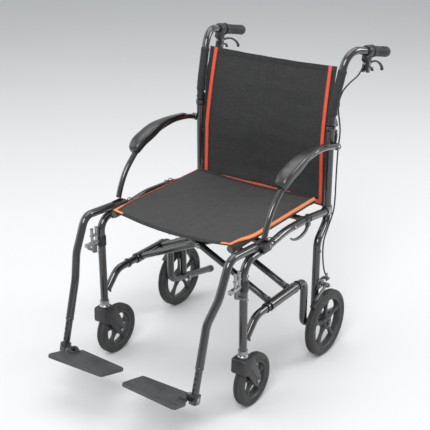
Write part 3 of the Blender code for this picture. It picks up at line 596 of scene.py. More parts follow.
class Finish:
    """A node material under construction: a Principled shader and its texture nodes."""

    def __init__(self, name, roughness=0.5, metallic=0.0, uv=False):
        self.material = bpy.data.materials.new(name)
        self.material.use_nodes = True
        self.tree = self.material.node_tree
        self.shader = self.tree.nodes["Principled BSDF"]
        self.set("Roughness", roughness)
        self.set("Metallic", metallic)
        texture = self.node("ShaderNodeTexCoord")
        self.coords = texture.outputs["UV" if uv else "Object"]
        self.material.diffuse_color = (0.1, 0.1, 0.1, 1)

    def set(self, socket, value):
        self.shader.inputs[socket].default_value = value

    def node(self, kind, **inputs):
        made = self.tree.nodes.new(kind)
        for key, value in inputs.items():
            made.inputs[key.replace("_", " ")].default_value = value
        return made

    def link(self, out, into):
        self.tree.links.new(out, into)

    def grain(self, scale, detail=3.0, roughness=0.5, stretch=None):
        made = self.node(
            "ShaderNodeTexNoise", Scale=scale, Detail=detail, Roughness=roughness
        )
        self.link(self.stretched(stretch), made.inputs["Vector"])
        return made.outputs["Fac"]

    def stretched(self, stretch):
        if stretch is None:
            return self.coords
        mapping = self.node("ShaderNodeMapping", Scale=stretch)
        self.link(self.coords, mapping.inputs["Vector"])
        return mapping.outputs["Vector"]

    def cells(self, scale, feature="DISTANCE_TO_EDGE"):
        made = self.node("ShaderNodeTexVoronoi", Scale=scale)
        made.feature = feature
        self.link(self.coords, made.inputs["Vector"])
        return made.outputs["Distance"]

    def ribs(self, period, axis, distortion=0.0, profile="SIN"):
        """Parallel ribs, so many metres apart."""
        made = self.node(
            "ShaderNodeTexWave", Scale=math.tau / 20 / period, Distortion=distortion
        )
        made.bands_direction = axis
        made.wave_profile = profile
        self.link(self.coords, made.inputs["Vector"])
        return made.outputs["Fac"]

    def math(self, operation, a, b=0.5):
        made = self.node("ShaderNodeMath")
        made.operation = operation
        for value, socket in ((a, made.inputs[0]), (b, made.inputs[1])):
            if isinstance(value, (int, float)):
                socket.default_value = value
            else:
                self.link(value, socket)
        return made.outputs[0]

    def blend(self, a, share_a, b, share_b):
        """A weighted sum of two values."""
        parts = [self.math("MULTIPLY", *pair) for pair in ((a, share_a), (b, share_b))]
        return self.math("ADD", *parts)

    def span(self, value, low, high, out_low, out_high):
        made = self.node("ShaderNodeMapRange")
        for key, number in zip(
            ("From Min", "From Max", "To Min", "To Max"), (low, high, out_low, out_high)
        ):
            made.inputs[key].default_value = number
        self.link(value, made.inputs["Value"])
        return made.outputs["Result"]

    def tint(self, value, dark, light, low=0.3, high=0.7):
        """Base colour running between two colours as the value goes from low to high."""
        ramp = self.node("ShaderNodeValToRGB")
        ramp.color_ramp.elements[0].position = low
        ramp.color_ramp.elements[1].position = high
        ramp.color_ramp.elements[0].color = (*dark, 1)
        ramp.color_ramp.elements[1].color = (*light, 1)
        self.link(value, ramp.inputs["Fac"])
        self.link(ramp.outputs["Color"], self.shader.inputs["Base Color"])
        self.material.diffuse_color = (*light, 1)

    def gloss(self, value, rough_low, rough_high, low=0.3, high=0.7):
        out = self.span(value, low, high, rough_low, rough_high)
        self.link(out, self.shader.inputs["Roughness"])

    def bump(self, value, strength, distance):
        made = self.node("ShaderNodeBump", Strength=strength, Distance=distance)
        self.link(value, made.inputs["Height"])
        before = self.shader.inputs["Normal"]
        if before.is_linked:
            self.link(before.links[0].from_socket, made.inputs["Normal"])
        self.link(made.outputs["Normal"], self.shader.inputs["Normal"])


def shaded(colour, factor):
    return tuple(min(1.0, c * factor) for c in colour)


def powder_coat(paint):
    """Gloss powder coat with faint orange peel and slightly uneven gloss."""
    made = Finish("powder_coat", 0.2, 0.0)
    made.set("Coat Weight", 1.0)
    made.set("Coat Roughness", 0.07)
    made.tint(made.grain(9, 4), shaded(paint, 0.8), shaded(paint, 1.25))
    made.gloss(made.grain(60, 3), 0.17, 0.27)
    made.bump(made.grain(650, 2), 0.05, 0.0004)
    return made.material


def worn_weld(paint):
    made = Finish("weld_paint", 0.32, 0.3)
    made.tint(made.grain(240, 3), shaded(paint, 0.7), shaded(paint, 1.6))
    made.bump(made.grain(900, 3), 0.25, 0.0005)
    return made.material


def bright_metal():
    """Polished plating with fine drawn lines and small dull patches."""
    made = Finish("bright_metal", 0.2, 1.0)
    made.tint(made.grain(30, 4), (0.24, 0.24, 0.245), (0.44, 0.44, 0.45))
    made.gloss(made.grain(90, 3, stretch=(1, 1, 14)), 0.14, 0.34)
    made.bump(made.grain(700, 2, stretch=(1, 1, 9)), 0.04, 0.0002)
    return made.material


def dull_steel():
    """Zinc plating: grey, spangled, a little rough."""
    made = Finish("zinc_plate", 0.4, 1.0)
    made.tint(made.cells(420, "F1"), (0.12, 0.12, 0.125), (0.26, 0.26, 0.265), 0.0, 0.9)
    made.gloss(made.grain(120, 3), 0.30, 0.48)
    made.bump(made.grain(500, 3), 0.06, 0.0003)
    return made.material


def moulded(name, colour, rough_low=0.38, rough_high=0.52):
    """Moulded plastic with a spark-eroded grain and rubbed patches."""
    made = Finish(name, 0.45)
    made.tint(made.grain(22, 4), shaded(colour, 0.82), shaded(colour, 1.2))
    made.gloss(made.grain(45, 4), rough_low, rough_high)
    made.bump(made.cells(1100, "F1"), 0.10, 0.0003)
    made.bump(made.grain(340, 3), 0.08, 0.0004)
    return made.material


def pad_foam():
    """Self-skinned foam: satin black with a leather-like grain."""
    made = Finish("pad_foam", 0.4)
    made.tint(made.grain(35, 4), (0.012, 0.012, 0.013), (0.024, 0.024, 0.025))
    made.set("Coat Weight", 0.35)
    made.set("Coat Roughness", 0.22)
    made.gloss(made.grain(70, 3), 0.28, 0.38)
    made.bump(made.cells(620), 0.14, 0.0005)
    made.bump(made.grain(160, 3), 0.10, 0.0006)
    return made.material


def grip_rubber():
    made = Finish("grip_rubber", 0.55)
    made.tint(made.grain(40, 4), (0.012, 0.012, 0.013), (0.026, 0.026, 0.027))
    made.gloss(made.grain(80, 3), 0.42, 0.58)
    made.bump(made.grain(900, 2), 0.12, 0.0003)
    return made.material


def tyre_rubber():
    """Grey-black rubber, dusty where it rolls."""
    made = Finish("tyre_rubber", 0.7)
    made.tint(made.grain(26, 5, 0.6), (0.015, 0.015, 0.016), (0.036, 0.0355, 0.035))
    made.gloss(made.grain(60, 3), 0.48, 0.70)
    made.bump(made.grain(700, 3), 0.16, 0.0004)
    return made.material


def woven_cloth(name, cloth, warp=0.0024, weft=0.0016):
    """Ribbed nylon: raised warp ribs crossed by finer weft, paler on the rib tops and
    darker between them, with random mottling.
    """
    made = Finish(name, 0.75, uv=True)
    made.set("Sheen Weight", 0.06)
    made.set("Sheen Roughness", 0.4)
    ribs = made.ribs(warp, "X", 0.4)
    cross = made.ribs(weft, "Y", 0.3)
    weave = made.blend(ribs, 0.62, cross, 0.38)
    mottled = made.blend(weave, 0.55, made.grain(38, 5, 0.6), 0.45)
    made.tint(mottled, shaded(cloth, 0.55), shaded(cloth, 1.65), 0.25, 0.75)
    made.gloss(made.grain(150, 3), 0.62, 0.86)
    made.bump(weave, 0.35, 0.0005)
    made.bump(made.grain(18, 3), 0.25, 0.004)
    return made.material


def ribbon_weave(name, ribbon):
    """Satin ribbon with fine cross ribs."""
    made = Finish(name, 0.42, uv=True)
    made.set("Sheen Weight", 0.1)
    made.set("Coat Weight", 0.25)
    made.set("Coat Roughness", 0.3)
    ribs = made.ribs(0.0013, "Y", 0.2)
    made.tint(ribs, shaded(ribbon, 0.80), shaded(ribbon, 1.12), 0.1, 0.9)
    made.gloss(made.grain(300, 3), 0.32, 0.48)
    made.bump(ribs, 0.4, 0.0003)
    return made.material


def stitch_thread(name, colour):
    made = Finish(name, 0.6)
    made.tint(made.grain(900, 2), shaded(colour, 0.8), shaded(colour, 1.3))
    made.bump(made.ribs(0.0008, "Z", 0.5), 0.3, 0.0002)
    return made.material


def cable_sheath():
    made = Finish("cable_sheath", 0.32)
    made.tint(made.grain(60, 3), (0.014, 0.014, 0.015), (0.030, 0.030, 0.031))
    made.gloss(made.grain(50, 2), 0.26, 0.38)
    made.bump(made.grain(400, 2), 0.06, 0.0003)
    return made.material


# near-black finish for the foot tubes' adjusting holes: painted shade standing in for the
# hollow inside each hole
def dark_recess():
    made = Finish("recess", 0.8)
    made.tint(made.grain(300, 2), (0.004, 0.004, 0.004), (0.010, 0.010, 0.010))
    return made.material


def make_finishes(look):
    paint, cloth = tuple(look.paint), tuple(look.cloth)
    MATERIALS.update(
        paint=powder_coat(paint),
        weld=worn_weld(paint),
        bright=bright_metal(),
        steel=dull_steel(),
        black=moulded("black_plastic", (0.018, 0.018, 0.019), 0.3, 0.42),
        grey=moulded("wheel_plastic", tuple(look.plastic)),
        # the footplates are the wheel plastic lightened by half: a painted highlight on
        # their upward faces
        plate=moulded("plate_plastic", shaded(tuple(look.plastic), 1.5), 0.34, 0.48),
        pad=pad_foam(),
        grip=grip_rubber(),
        tyre=tyre_rubber(),
        cloth=woven_cloth("seat_cloth", cloth),
        # the back cloth is the seat cloth darkened to 55 %: painted shade on the upright
        # panels, which face away from the overhead lamps
        back_cloth=woven_cloth("back_cloth", shaded(cloth, 0.55), 0.0018, 0.0018),
        binding=woven_cloth("binding", shaded(cloth, 0.45), 0.0012, 0.0012),
        ribbon=ribbon_weave("edge_ribbon", tuple(look.ribbon)),
        # the seat ribbon's material is a lighter, yellower painted-highlight copy of the
        # edge ribbon
        seat_ribbon=ribbon_weave("seat_ribbon", tuple(look.seat_ribbon)),
        thread=stitch_thread("dark_thread", (0.020, 0.020, 0.022)),
        ribbon_thread=stitch_thread("ribbon_thread", shaded(tuple(look.ribbon), 0.62)),
        sheath=cable_sheath(),
        recess=dark_recess(),
    )


def finishes(*names):
    return [MATERIALS[name] for name in names]


# ---- side frames ----------------------------------------------------------------
SIDE_TUBE = [
    ((FRAME_HALF, 0, 0.172), 0),
    ((FRAME_HALF, 0, 0.439), 0.038),
    ((FRAME_HALF, 0.110, 0.443), 0.3),
    ((FRAME_HALF - 0.001, 0.200, 0.4545), 0.3),
    ((FRAME_HALF - 0.003, 0.310, 0.449), 0.3),
    ((CANE_HALF + 0.003, 0.4382, 0.427), 0),
]
REAR_POST = [
    ((CANE_HALF, BACK_STATION, BACK_HINGE.z - 0.001), 0),
    ((CANE_HALF, BACK_STATION, 0.395), 0.028),
    ((FRAME_HALF, LEG_STATION, 0.359), 0.028),
    ((FRAME_HALF, LEG_STATION, 0.116), 0),
]
LOWER_RAIL = [
    ((FRAME_HALF, 0.0125, 0.213), 0),
    ((FRAME_HALF, 0.060, HINGE_RAIL_Z), 0.05),
    ((FRAME_HALF, 0.310, HINGE_RAIL_Z), 0.026),
    ((FRAME_HALF, 0.310, 0.124), 0.028),
    ((FRAME_HALF, 0.528, 0.076), 0),
]
SADDLES = (0.1085, 0.3000)


def build_side_tubes():
    """Front post and top rail in one bend, with welded saddles and fastenings."""
    for name, side in SIDES:
        bm = bmesh.new()
        sweep(bm, placed(bent_path(SIDE_TUBE), side), TUBE_R, 28)
        end = at(side * (CANE_HALF + 0.003), 0.4382, 0.427)
        turned(
            bm,
            [(0.0140, -0.013), (0.0150, -0.011), (0.0150, 0.011), (0.0140, 0.013)]
            + [(SNUG_R, 0.013), (SNUG_R, -0.013)],
            at(side * CANE_HALF, BACK_STATION, 0.427),
            (0, 0, 1),
            32,
            mat=2,
            closed=True,
        )
        weld_bead(bm, end + Vector((0, -0.004, 0.001)), (0, 1, -0.2), 0.0115, mat=1)
        rail_top = SEAT_RAIL_Z - 0.0098
        for station in SADDLES:
            x_in = side * (SEAT_RAIL_HALF - 0.010)
            x_out = side * (FRAME_HALF - 0.004)
            block(
                bm,
                at(min(x_in, x_out), station, rail_top - 0.008),
                at(max(x_in, x_out), station + 0.020, rail_top),
                0.0015,
                mat=3,
            )
            for offset in (0.0, 0.020):
                weld_bead(
                    bm,
                    at(side * (FRAME_HALF - 0.001), station + offset, 0.4505),
                    (0, 1, 0.04),
                    0.0112,
                    0.0012,
                    mat=1,
                )
        # clamp collar that the hanger's link closes on, and the post's bolts
        front = at(side * FRAME_HALF, 0, 0)
        turned(
            bm,
            [(0.0124, 0.360), (0.0133, 0.3615), (0.0133, 0.3885), (0.0124, 0.390)]
            + [(SNUG_R, 0.390), (SNUG_R, 0.360)],
            front,
            (0, 0, 1),
            32,
            mat=3,
            closed=True,
        )
        hook = [(0.330, 0.4400), (0.328, 0.4240), (0.316, 0.4110), (0.296, 0.4040)]
        hook += [(0.272, 0.4035), (0.250, 0.4090), (0.238, 0.4165)]
        hook_x = side * (FRAME_HALF - 0.006)
        bar_along(
            bm,
            [at(hook_x, p.x, p.y) for p in smooth_path([(a, b, 0) for a, b in hook], 5)],
            0.0040,
            0.0072,
            4,
            lambda t: 1.1 - 0.5 * t**3,
        )
        low, high = (at(hook_x - 0.005, 0.3210, 0.4200), at(hook_x + 0.005, 0.3370, 0.4420))
        block(bm, low, high, 0.002, mat=3)
        bolt(bm, at(hook_x + side * 0.005, 0.329, 0.4300), (side, 0, 0), 0.0040, 0.0024, 2)
        for z in (0.405, 0.336):
            bolt(bm, front + Vector((side * 0.0105, 0, z)), (side, 0, 0), 0.0042, 0.004, 2)
        spot = at(side * (FRAME_HALF + 0.0095), 0.235, 0.4535)
        bolt(bm, spot, (side, 0, 0), 0.0040, 0.004, 2)
        piece(
            f"{name}_side_tube_finished",
            bm,
            finishes("paint", "weld", "bright", "black", "steel"),
            f"{name}_frame",
            [f"{name}_side_tube"],
        )


def build_rear_posts():
    """Back post, cranked forward into the rear leg and welded to the tipping tube."""
    for name, side in SIDES:
        bm = bmesh.new()
        sweep(bm, placed(bent_path(REAR_POST), side), TUBE_R, 28)
        foot = at(side * FRAME_HALF, LEG_STATION, 0.1215)
        weld_bead(bm, foot, (0, 0.22, 1), 0.0118, mat=1)
        x = side * CANE_HALF
        hinge = Vector((x, BACK_HINGE.y, BACK_HINGE.z))
        block(
            bm,
            at(x - 0.0045, BACK_STATION + 0.007, BACK_HINGE.z - 0.015),
            Vector((x + 0.0045, BACK_HINGE.y + 0.003, BACK_HINGE.z - 0.002)),
            0.0012,
            mat=2,
        )
        rod(
            bm,
            hinge - Vector((0.0045, 0, 0)),
            hinge + Vector((0.0045, 0, 0)),
            0.0028,
            20,
            2,
        )
        turned(
            bm,
            [(0.0124, 0.664), (0.0131, 0.6655), (0.0131, 0.677), (0.0124, 0.6785)]
            + [(SNUG_R, 0.6785), (SNUG_R, 0.664)],
            at(x, BACK_STATION, 0),
            (0, 0, 1),
            32,
            mat=0,
            closed=True,
        )
        # latch bracket under the fold, and the post's bolts
        block(
            bm,
            at(x - 0.0085, BACK_STATION + 0.009, 0.6535 - 0.004),
            at(x + 0.0085, BACK_STATION + 0.0120, 0.6535 + 0.004),
            0.001,
            mat=2,
        )
        for z in (0.585, 0.480):
            spot = at(x - side * 0.0105, BACK_STATION, z)
            bolt(bm, spot, (-side, 0, 0), 0.0036, 0.0016, 2)
        spot = at(side * (FRAME_HALF + 0.0105), LEG_STATION, 0.330)
        bolt(bm, spot, (side, 0, 0), 0.0038, 0.0035, 2)
        piece(
            f"{name}_rear_post_finished",
            bm,
            finishes("paint", "weld", "steel"),
            f"{name}_frame",
            [f"{name}_rear_post"],
        )


def build_lower_rails():
    """Lower rail, drop and tipping tube in one bend, with a rubber tip."""
    for name, side in SIDES:
        bm = bmesh.new()
        sweep(bm, placed(bent_path(LOWER_RAIL), side), TUBE_R, 28)
        weld_bead(bm, at(side * FRAME_HALF, 0.0135, 0.2145), (0, 0.6, 0.62), 0.0116, mat=1)
        for station in (0.108, 0.272):
            turned(
                bm,
                [(SNUG_R, -0.002), (0.0135, -0.002), (0.0140, 0), (0.0135, 0.002)]
                + [(SNUG_R, 0.002)],
                at(side * FRAME_HALF, station, HINGE_RAIL_Z),
                (0, 1, 0),
                32,
                mat=3,
                closed=True,
            )
        tip = at(side * FRAME_HALF, 0.528, 0.076)
        along = (tip - at(side * FRAME_HALF, 0.310, 0.124)).normalized()
        turned(
            bm,
            [(0, 0.0005), (0.0085, 0.0004), (0.0112, -0.003), (0.0114, -0.020)]
            + [(0.0111, -0.0215), (0, -0.0215)],
            tip,
            along,
            28,
            mat=2,
        )
        piece(
            f"{name}_lower_rail_finished",
            bm,
            finishes("paint", "weld", "grip", "black"),
            f"{name}_frame",
            [f"{name}_lower_rail"],
        )


# ---- cross brace ----------------------------------------------------------------
BRACE_A = (0.140, 0.235)
BRACE_B = (0.161, 0.256)
BARREL_R = 0.0153


def build_cross_braces():
    """Two tubes from a hinge barrel on one lower rail up to the opposite seat rail."""
    for letter, from_side, stations in (("a", 1, BRACE_A), ("b", -1, BRACE_B)):
        bm = bmesh.new()
        hinge_x, rail_x = from_side * FRAME_HALF, -from_side * SEAT_RAIL_HALF
        low, high = stations[0] - 0.0168, stations[1] + 0.0204
        turned(
            bm,
            [(0.0120, 0), (0.0146, 0), (BARREL_R, 0.0008), (BARREL_R, 0.010)]
            + [(0.0146, 0.0108), (0.0146, high - low - 0.0108)]
            + [(BARREL_R, high - low - 0.010), (BARREL_R, high - low - 0.0008)]
            + [(0.0146, high - low), (0.0120, high - low)],
            at(hinge_x, low, HINGE_RAIL_Z),
            (0, 1, 0),
            36,
            closed=True,
        )
        across = Vector((rail_x - hinge_x, 0, SEAT_RAIL_Z - HINGE_RAIL_Z)).normalized()
        for station in stations:
            start = at(hinge_x, station, HINGE_RAIL_Z)
            end = at(rail_x, station, SEAT_RAIL_Z)
            rod(bm, start + across * 0.0133, end, BRACE_R, 28)
            weld_bead(bm, start + across * 0.0165, across, 0.0098, 0.0018, mat=1)
            weld_bead(bm, end - across * 0.0120, across, 0.0097, 0.0016, mat=1)
        rail = [at(rail_x, s, SEAT_RAIL_Z) for s in (SEAT_FRONT, SEAT_REAR)]
        rod(bm, rail[0], rail[1], 0.0095, 28)
        for end, way in ((rail[0], -1), (rail[1], 1)):
            turned(
                bm,
                [(0, 0.0028), (0.0062, 0.0024), (0.0092, 0.0002), (0.0092, -0.006)]
                + [(0, -0.006)],
                end - Vector((0, way * 0.003, 0)),
                (0, way, 0),
                28,
                mat=2,
            )
        if letter == "b":
            first, last = BRACE_A[0] - 0.014, BRACE_B[1] + 0.014
            rod(bm, at(0, first, PIVOT.z), at(0, last, PIVOT.z), 0.004, 20, 3)
            bolt(bm, at(0, first + 0.004, PIVOT.z), (0, -1, 0), 0.0062, 0.0048, 3)
            nut(bm, at(0, last - 0.006, PIVOT.z), (0, 1, 0), 0.0066, 0.0052, 3)
        piece(
            f"cross_brace_{letter}_finished",
            bm,
            finishes("paint", "weld", "black", "bright"),
            f"brace_{letter}",
            [f"cross_brace_{letter}"],
        )


# ---- wheels ---------------------------------------------------------------------
def tread_tyre(bm, radius, inner, width, place, grooves, depth):
    """A tyre with rounded shoulders, two rain lines and blocks cut across the tread."""
    half = width / 2
    shoulder = (radius - inner) * 0.45
    profile = [
        (inner, half * 0.86),
        (inner + (radius - inner) * 0.25, half * 0.97),
        (radius - shoulder, half),
        (radius - shoulder * 0.55, half * 0.93),
        (radius - shoulder * 0.22, half * 0.78),
        (radius - shoulder * 0.05, half * 0.58),
        (radius, half * 0.40),
        (radius, half * 0.24),
        (radius - depth, half * 0.20),
        (radius - depth, half * 0.10),
        (radius, half * 0.06),
    ]
    profile += [(r, -h) for r, h in reversed(profile)]
    steps = grooves * 4
    turn = Matrix.Translation(place) @ turn_frame((1, 0, 0))
    rows = []
    for k in range(steps):
        a = math.tau * k / steps
        cut = depth if k % 4 == 0 else 0.0
        ring = []
        for r, h in profile:
            outer = max(0.0, (r - (radius - shoulder * 0.6)) / (shoulder * 0.6))
            skew = a + 0.5 * abs(h) / radius
            size = r - cut * min(1.0, outer * 1.6) * (1.0 if abs(h) > half * 0.3 else 0.0)
            spot = Vector((size * math.cos(skew), size * math.sin(skew), h))
            ring.append(bm.verts.new(turn @ spot))
        rows.append(ring)
    made = []
    count = len(profile)
    for a, b in zip(rows, rows[1:] + rows[:1]):
        for i in range(count):
            j = (i + 1) % count
            made.append(bm.faces.new((a[i], a[j], b[j], b[i])))
    paint_faces(made, 0)


def moulded_wheel(bm, rim_r, hub_r, width, spokes, place):
    """Rim with rolled lips, dished web spokes and a stepped hub."""
    half = width / 2 * 0.80
    lip = [
        (rim_r, half),
        (rim_r - 0.0015, half + 0.0010),
        (rim_r - 0.0045, half + 0.0008),
        (rim_r - 0.0065, half - 0.0010),
        (rim_r - 0.0075, half - 0.0045),
        (rim_r - 0.0080, 0),
    ]
    profile = lip + [(r, -h) for r, h in reversed(lip[:-1])]
    turned(bm, profile, place, (1, 0, 0), 72, mat=0, closed=True)
    hub = [(0.0058, half + 0.0018), (hub_r * 0.62, half + 0.0018)]
    hub += [(hub_r * 0.66, half + 0.0010), (hub_r * 0.92, half + 0.0002)]
    hub += [(hub_r, half - 0.0018), (hub_r, 0)]
    turned(
        bm,
        hub + [(r, -h) for r, h in reversed(hub[:-1])],
        place,
        (1, 0, 0),
        40,
        mat=0,
        closed=True,
    )
    for i in range(spokes):
        angle = math.tau * i / spokes
        out = Vector((0, math.sin(angle), math.cos(angle)))
        tangent = Vector((0, math.cos(angle), -math.sin(angle)))
        side = Vector((1, 0, 0))
        rings = []
        for k in range(9):
            t = k / 8
            reach = hub_r - 0.003 + t * (rim_r - 0.005 - hub_r)
            wide = 0.0078 - 0.0030 * math.sin(math.pi * min(1, t * 1.02)) + 0.0020 * t**6
            deep = half * (0.78 - 0.30 * math.sin(math.pi * t))
            centre = place + out * reach
            ring = []
            for m in range(14):
                q = math.tau * m / 14
                cx = math.copysign(abs(math.cos(q)) ** 0.6, math.cos(q))
                cy = math.copysign(abs(math.sin(q)) ** 0.6, math.sin(q))
                ring.append(centre + tangent * (cx * wide) + side * (cy * deep))
            rings.append(ring)
        loft(bm, rings, mat=0)


def build_rear_wheels(spokes, tread_blocks):
    for name, side in SIDES:
        place = joint_place(f"{name}_rear_wheel_roll")
        bm = bmesh.new()
        tread_tyre(bm, 0.100, 0.0788, 0.027, place, tread_blocks, 0.0014)
        piece(
            f"{name}_rear_tyre_finished", bm, finishes("tyre"), f"{name}_rear_wheel",
            [f"{name}_rear_tyre"], crease=30,
        )
        bm = bmesh.new()
        moulded_wheel(bm, 0.079, 0.019, 0.027, spokes, place)
        piece(
            f"{name}_rear_wheel_finished", bm, finishes("grey"), f"{name}_rear_wheel",
            [f"{name}_rear_wheel"],
        )
        bm = bmesh.new()
        outer = place.x + side * (0.0135 * 0.8 + 0.003)
        spot = Vector((outer, place.y, place.z))
        way = Vector((side, 0, 0))
        turned(bm, [(0, 0), (0.0095, 0), (0.0095, 0.0012), (0, 0.0012)], spot, way, 32, 1)
        nut(bm, spot + way * 0.0012, way, 0.0076, 0.0040)
        inner = Vector((side * (FRAME_HALF - TUBE_R - 0.004), place.y, place.z))
        rod(bm, inner, spot, 0.005, 20, 1)
        bolt(bm, inner + way * 0.003, -way, 0.0062, 0.0045, 0)
        # spacer between the tipping tube and the hub
        turned(
            bm,
            [(0.0052, 0), (0.0085, 0), (0.0085, 0.0028), (0.0052, 0.0028)],
            Vector((side * (FRAME_HALF + TUBE_R - 0.0006), place.y, place.z)),
            way,
            28,
            mat=1,
            closed=True,
        )
        piece(
            f"{name}_rear_axle_finished", bm, finishes("bright", "steel"), f"{name}_frame",
            [f"{name}_rear_axle"],
        )


def build_casters(spokes, tread_blocks):
    for name, side in SIDES:
        swivel = joint_place(f"{name}_caster_swivel")
        place = joint_place(f"{name}_caster_roll")
        bm = bmesh.new()
        tread_tyre(bm, 0.075, 0.0548, 0.028, place, max(8, tread_blocks * 3 // 4), 0.0012)
        piece(
            f"{name}_caster_tyre_finished", bm, finishes("tyre"), f"{name}_caster_wheel",
            [f"{name}_caster_tyre"], crease=30,
        )
        bm = bmesh.new()
        moulded_wheel(bm, 0.055, 0.015, 0.028, spokes, place)
        piece(
            f"{name}_caster_wheel_finished", bm, finishes("grey"), f"{name}_caster_wheel",
            [f"{name}_caster_wheel"],
        )
        build_fork(name, swivel, place)
        build_stem_and_axle(name, swivel, place)


def build_fork(name, swivel, place):
    """Moulded fork: a rounded crown over the wheel, and a ribbed arm on each side."""
    bm = bmesh.new()
    top = 0.1654
    station, axle_z = place.y - FRONT_Y, place.z
    arm = rounded_outline(
        [
            ((-0.0205, 0.150), 0.006),
            ((-0.0215, 0.124), 0.008),
            ((-0.002, 0.113), 0.012),
            ((station - 0.010, axle_z - 0.014), 0.010),
            ((station + 0.013, axle_z - 0.010), 0.010),
            ((station + 0.013, axle_z + 0.012), 0.010),
            ((0.030, 0.150), 0.010),
            ((0.018, 0.160), 0.004),
        ]
    )
    crown = rounded_outline(
        [
            ((-0.0235, top), 0.007),
            ((-0.0255, 0.122), 0.008),
            ((-0.0100, 0.1185), 0.004),
            ((0.0060, 0.1440), 0.010),
            ((0.0280, 0.1555), 0.004),
            ((0.0200, top), 0.005),
        ]
    )
    slab(bm, crown, 0.0438, upright(swivel.x), 0.0040)
    for way in (-1, 1):
        wall = 0.0058
        x = swivel.x + way * (0.022 - wall / 2)
        slab(bm, arm, wall, upright(x), 0.0018)
        rib = [
            at(x + way * wall * 0.5, -0.004, 0.142),
            at(x + way * wall * 0.5, 0.016, 0.118),
            at(x + way * wall * 0.5, station - 0.006, axle_z + 0.010),
        ]
        sweep(bm, smooth_path(rib, 5), 0.0010, 10)
        turned(
            bm,
            [(0, 0), (0.0100, 0), (0.0100, 0.0006), (0.0086, 0.0012), (0, 0.0012)],
            Vector((x + way * (wall / 2 - 0.0004), place.y, place.z)),
            (way, 0, 0),
            32,
        )
    piece(
        f"{name}_caster_fork_finished", bm, finishes("black"), f"{name}_caster",
        [f"{name}_caster_fork"],
    )


def build_stem_and_axle(name, swivel, place):
    foot = Vector((swivel.x, swivel.y, 0))
    bm = bmesh.new()
    turned(
        bm,
        [(0, 0.202), (0.005, 0.202), (0.005, 0.1735), (0.0122, 0.1735)]
        + [(0.0128, 0.1722), (0.0143, 0.1712), (0.0150, 0.1695), (0.0155, 0.1672)]
        + [(0.0150, 0.1658), (0, 0.1658)],
        foot,
        (0, 0, 1),
        36,
    )
    turned(
        bm,
        [(0.0112, 0.1735), (0.0128, 0.1735), (0.0132, 0.1750), (0.0132, 0.1860)]
        + [(0.0124, 0.1875), (0.0112, 0.1875)],
        foot,
        (0, 0, 1),
        36,
        closed=True,
    )
    piece(
        f"{name}_caster_stem_finished", bm, finishes("bright"), f"{name}_frame",
        [f"{name}_caster_stem"],
    )
    bm = bmesh.new()
    half = 0.0223
    rod(bm, place - Vector((half, 0, 0)), place + Vector((half, 0, 0)), 0.004, 20)
    bolt(bm, place + Vector((half - 0.0004, 0, 0)), (1, 0, 0), 0.0052, 0.0030)
    nut(bm, place - Vector((half - 0.0004, 0, 0)), (-1, 0, 0), 0.0058, 0.0028)
    piece(
        f"{name}_caster_axle_finished", bm, finishes("bright"), f"{name}_caster",
        [f"{name}_caster_axle"],
    )


# ---- armrests -------------------------------------------------------------------
ARM_X = 0.245
ARM_PATH = [
    (0.452, 0.622), (0.405, 0.633), (0.340, 0.638), (0.275, 0.629), (0.222, 0.613),
    (0.185, 0.600), (0.150, 0.574), (0.119, 0.543), (0.098, 0.508), (0.086, 0.478),
]


def eased(t):
    t = min(1.0, max(0.0, t))
    return t * t * (3 - 2 * t)


def pad_ring(point, u, v, share):
    """The pad's section: a trough round the tube, domed on top and tapered rearward."""
    swell = eased((share - 0.08) / 0.52)
    close = math.sqrt(max(0.0, 1 - max(0.0, (share - 0.8) / 0.2) ** 2))
    half = (0.0078 + 0.0127 * swell) * (0.60 + 0.40 * close)
    foot = ARM_TUBE_R + 0.0012 - 0.0110 * swell
    top = ARM_TUBE_R + (0.0045 + 0.0175 * swell) * (0.40 + 0.60 * close)
    ring = []
    count = 28
    for i in range(count):
        a = math.tau * i / count
        c, s = math.cos(a), math.sin(a)
        across = math.copysign(abs(c) ** 0.62, c) * half
        up = (top + foot) / 2 + math.copysign(abs(s) ** 0.55, s) * (top - foot) / 2
        up += 0.0006 * swell * (1 - (across / half) ** 2) * max(0.0, s)
        ring.append(point + u * across + v * up)
    return ring


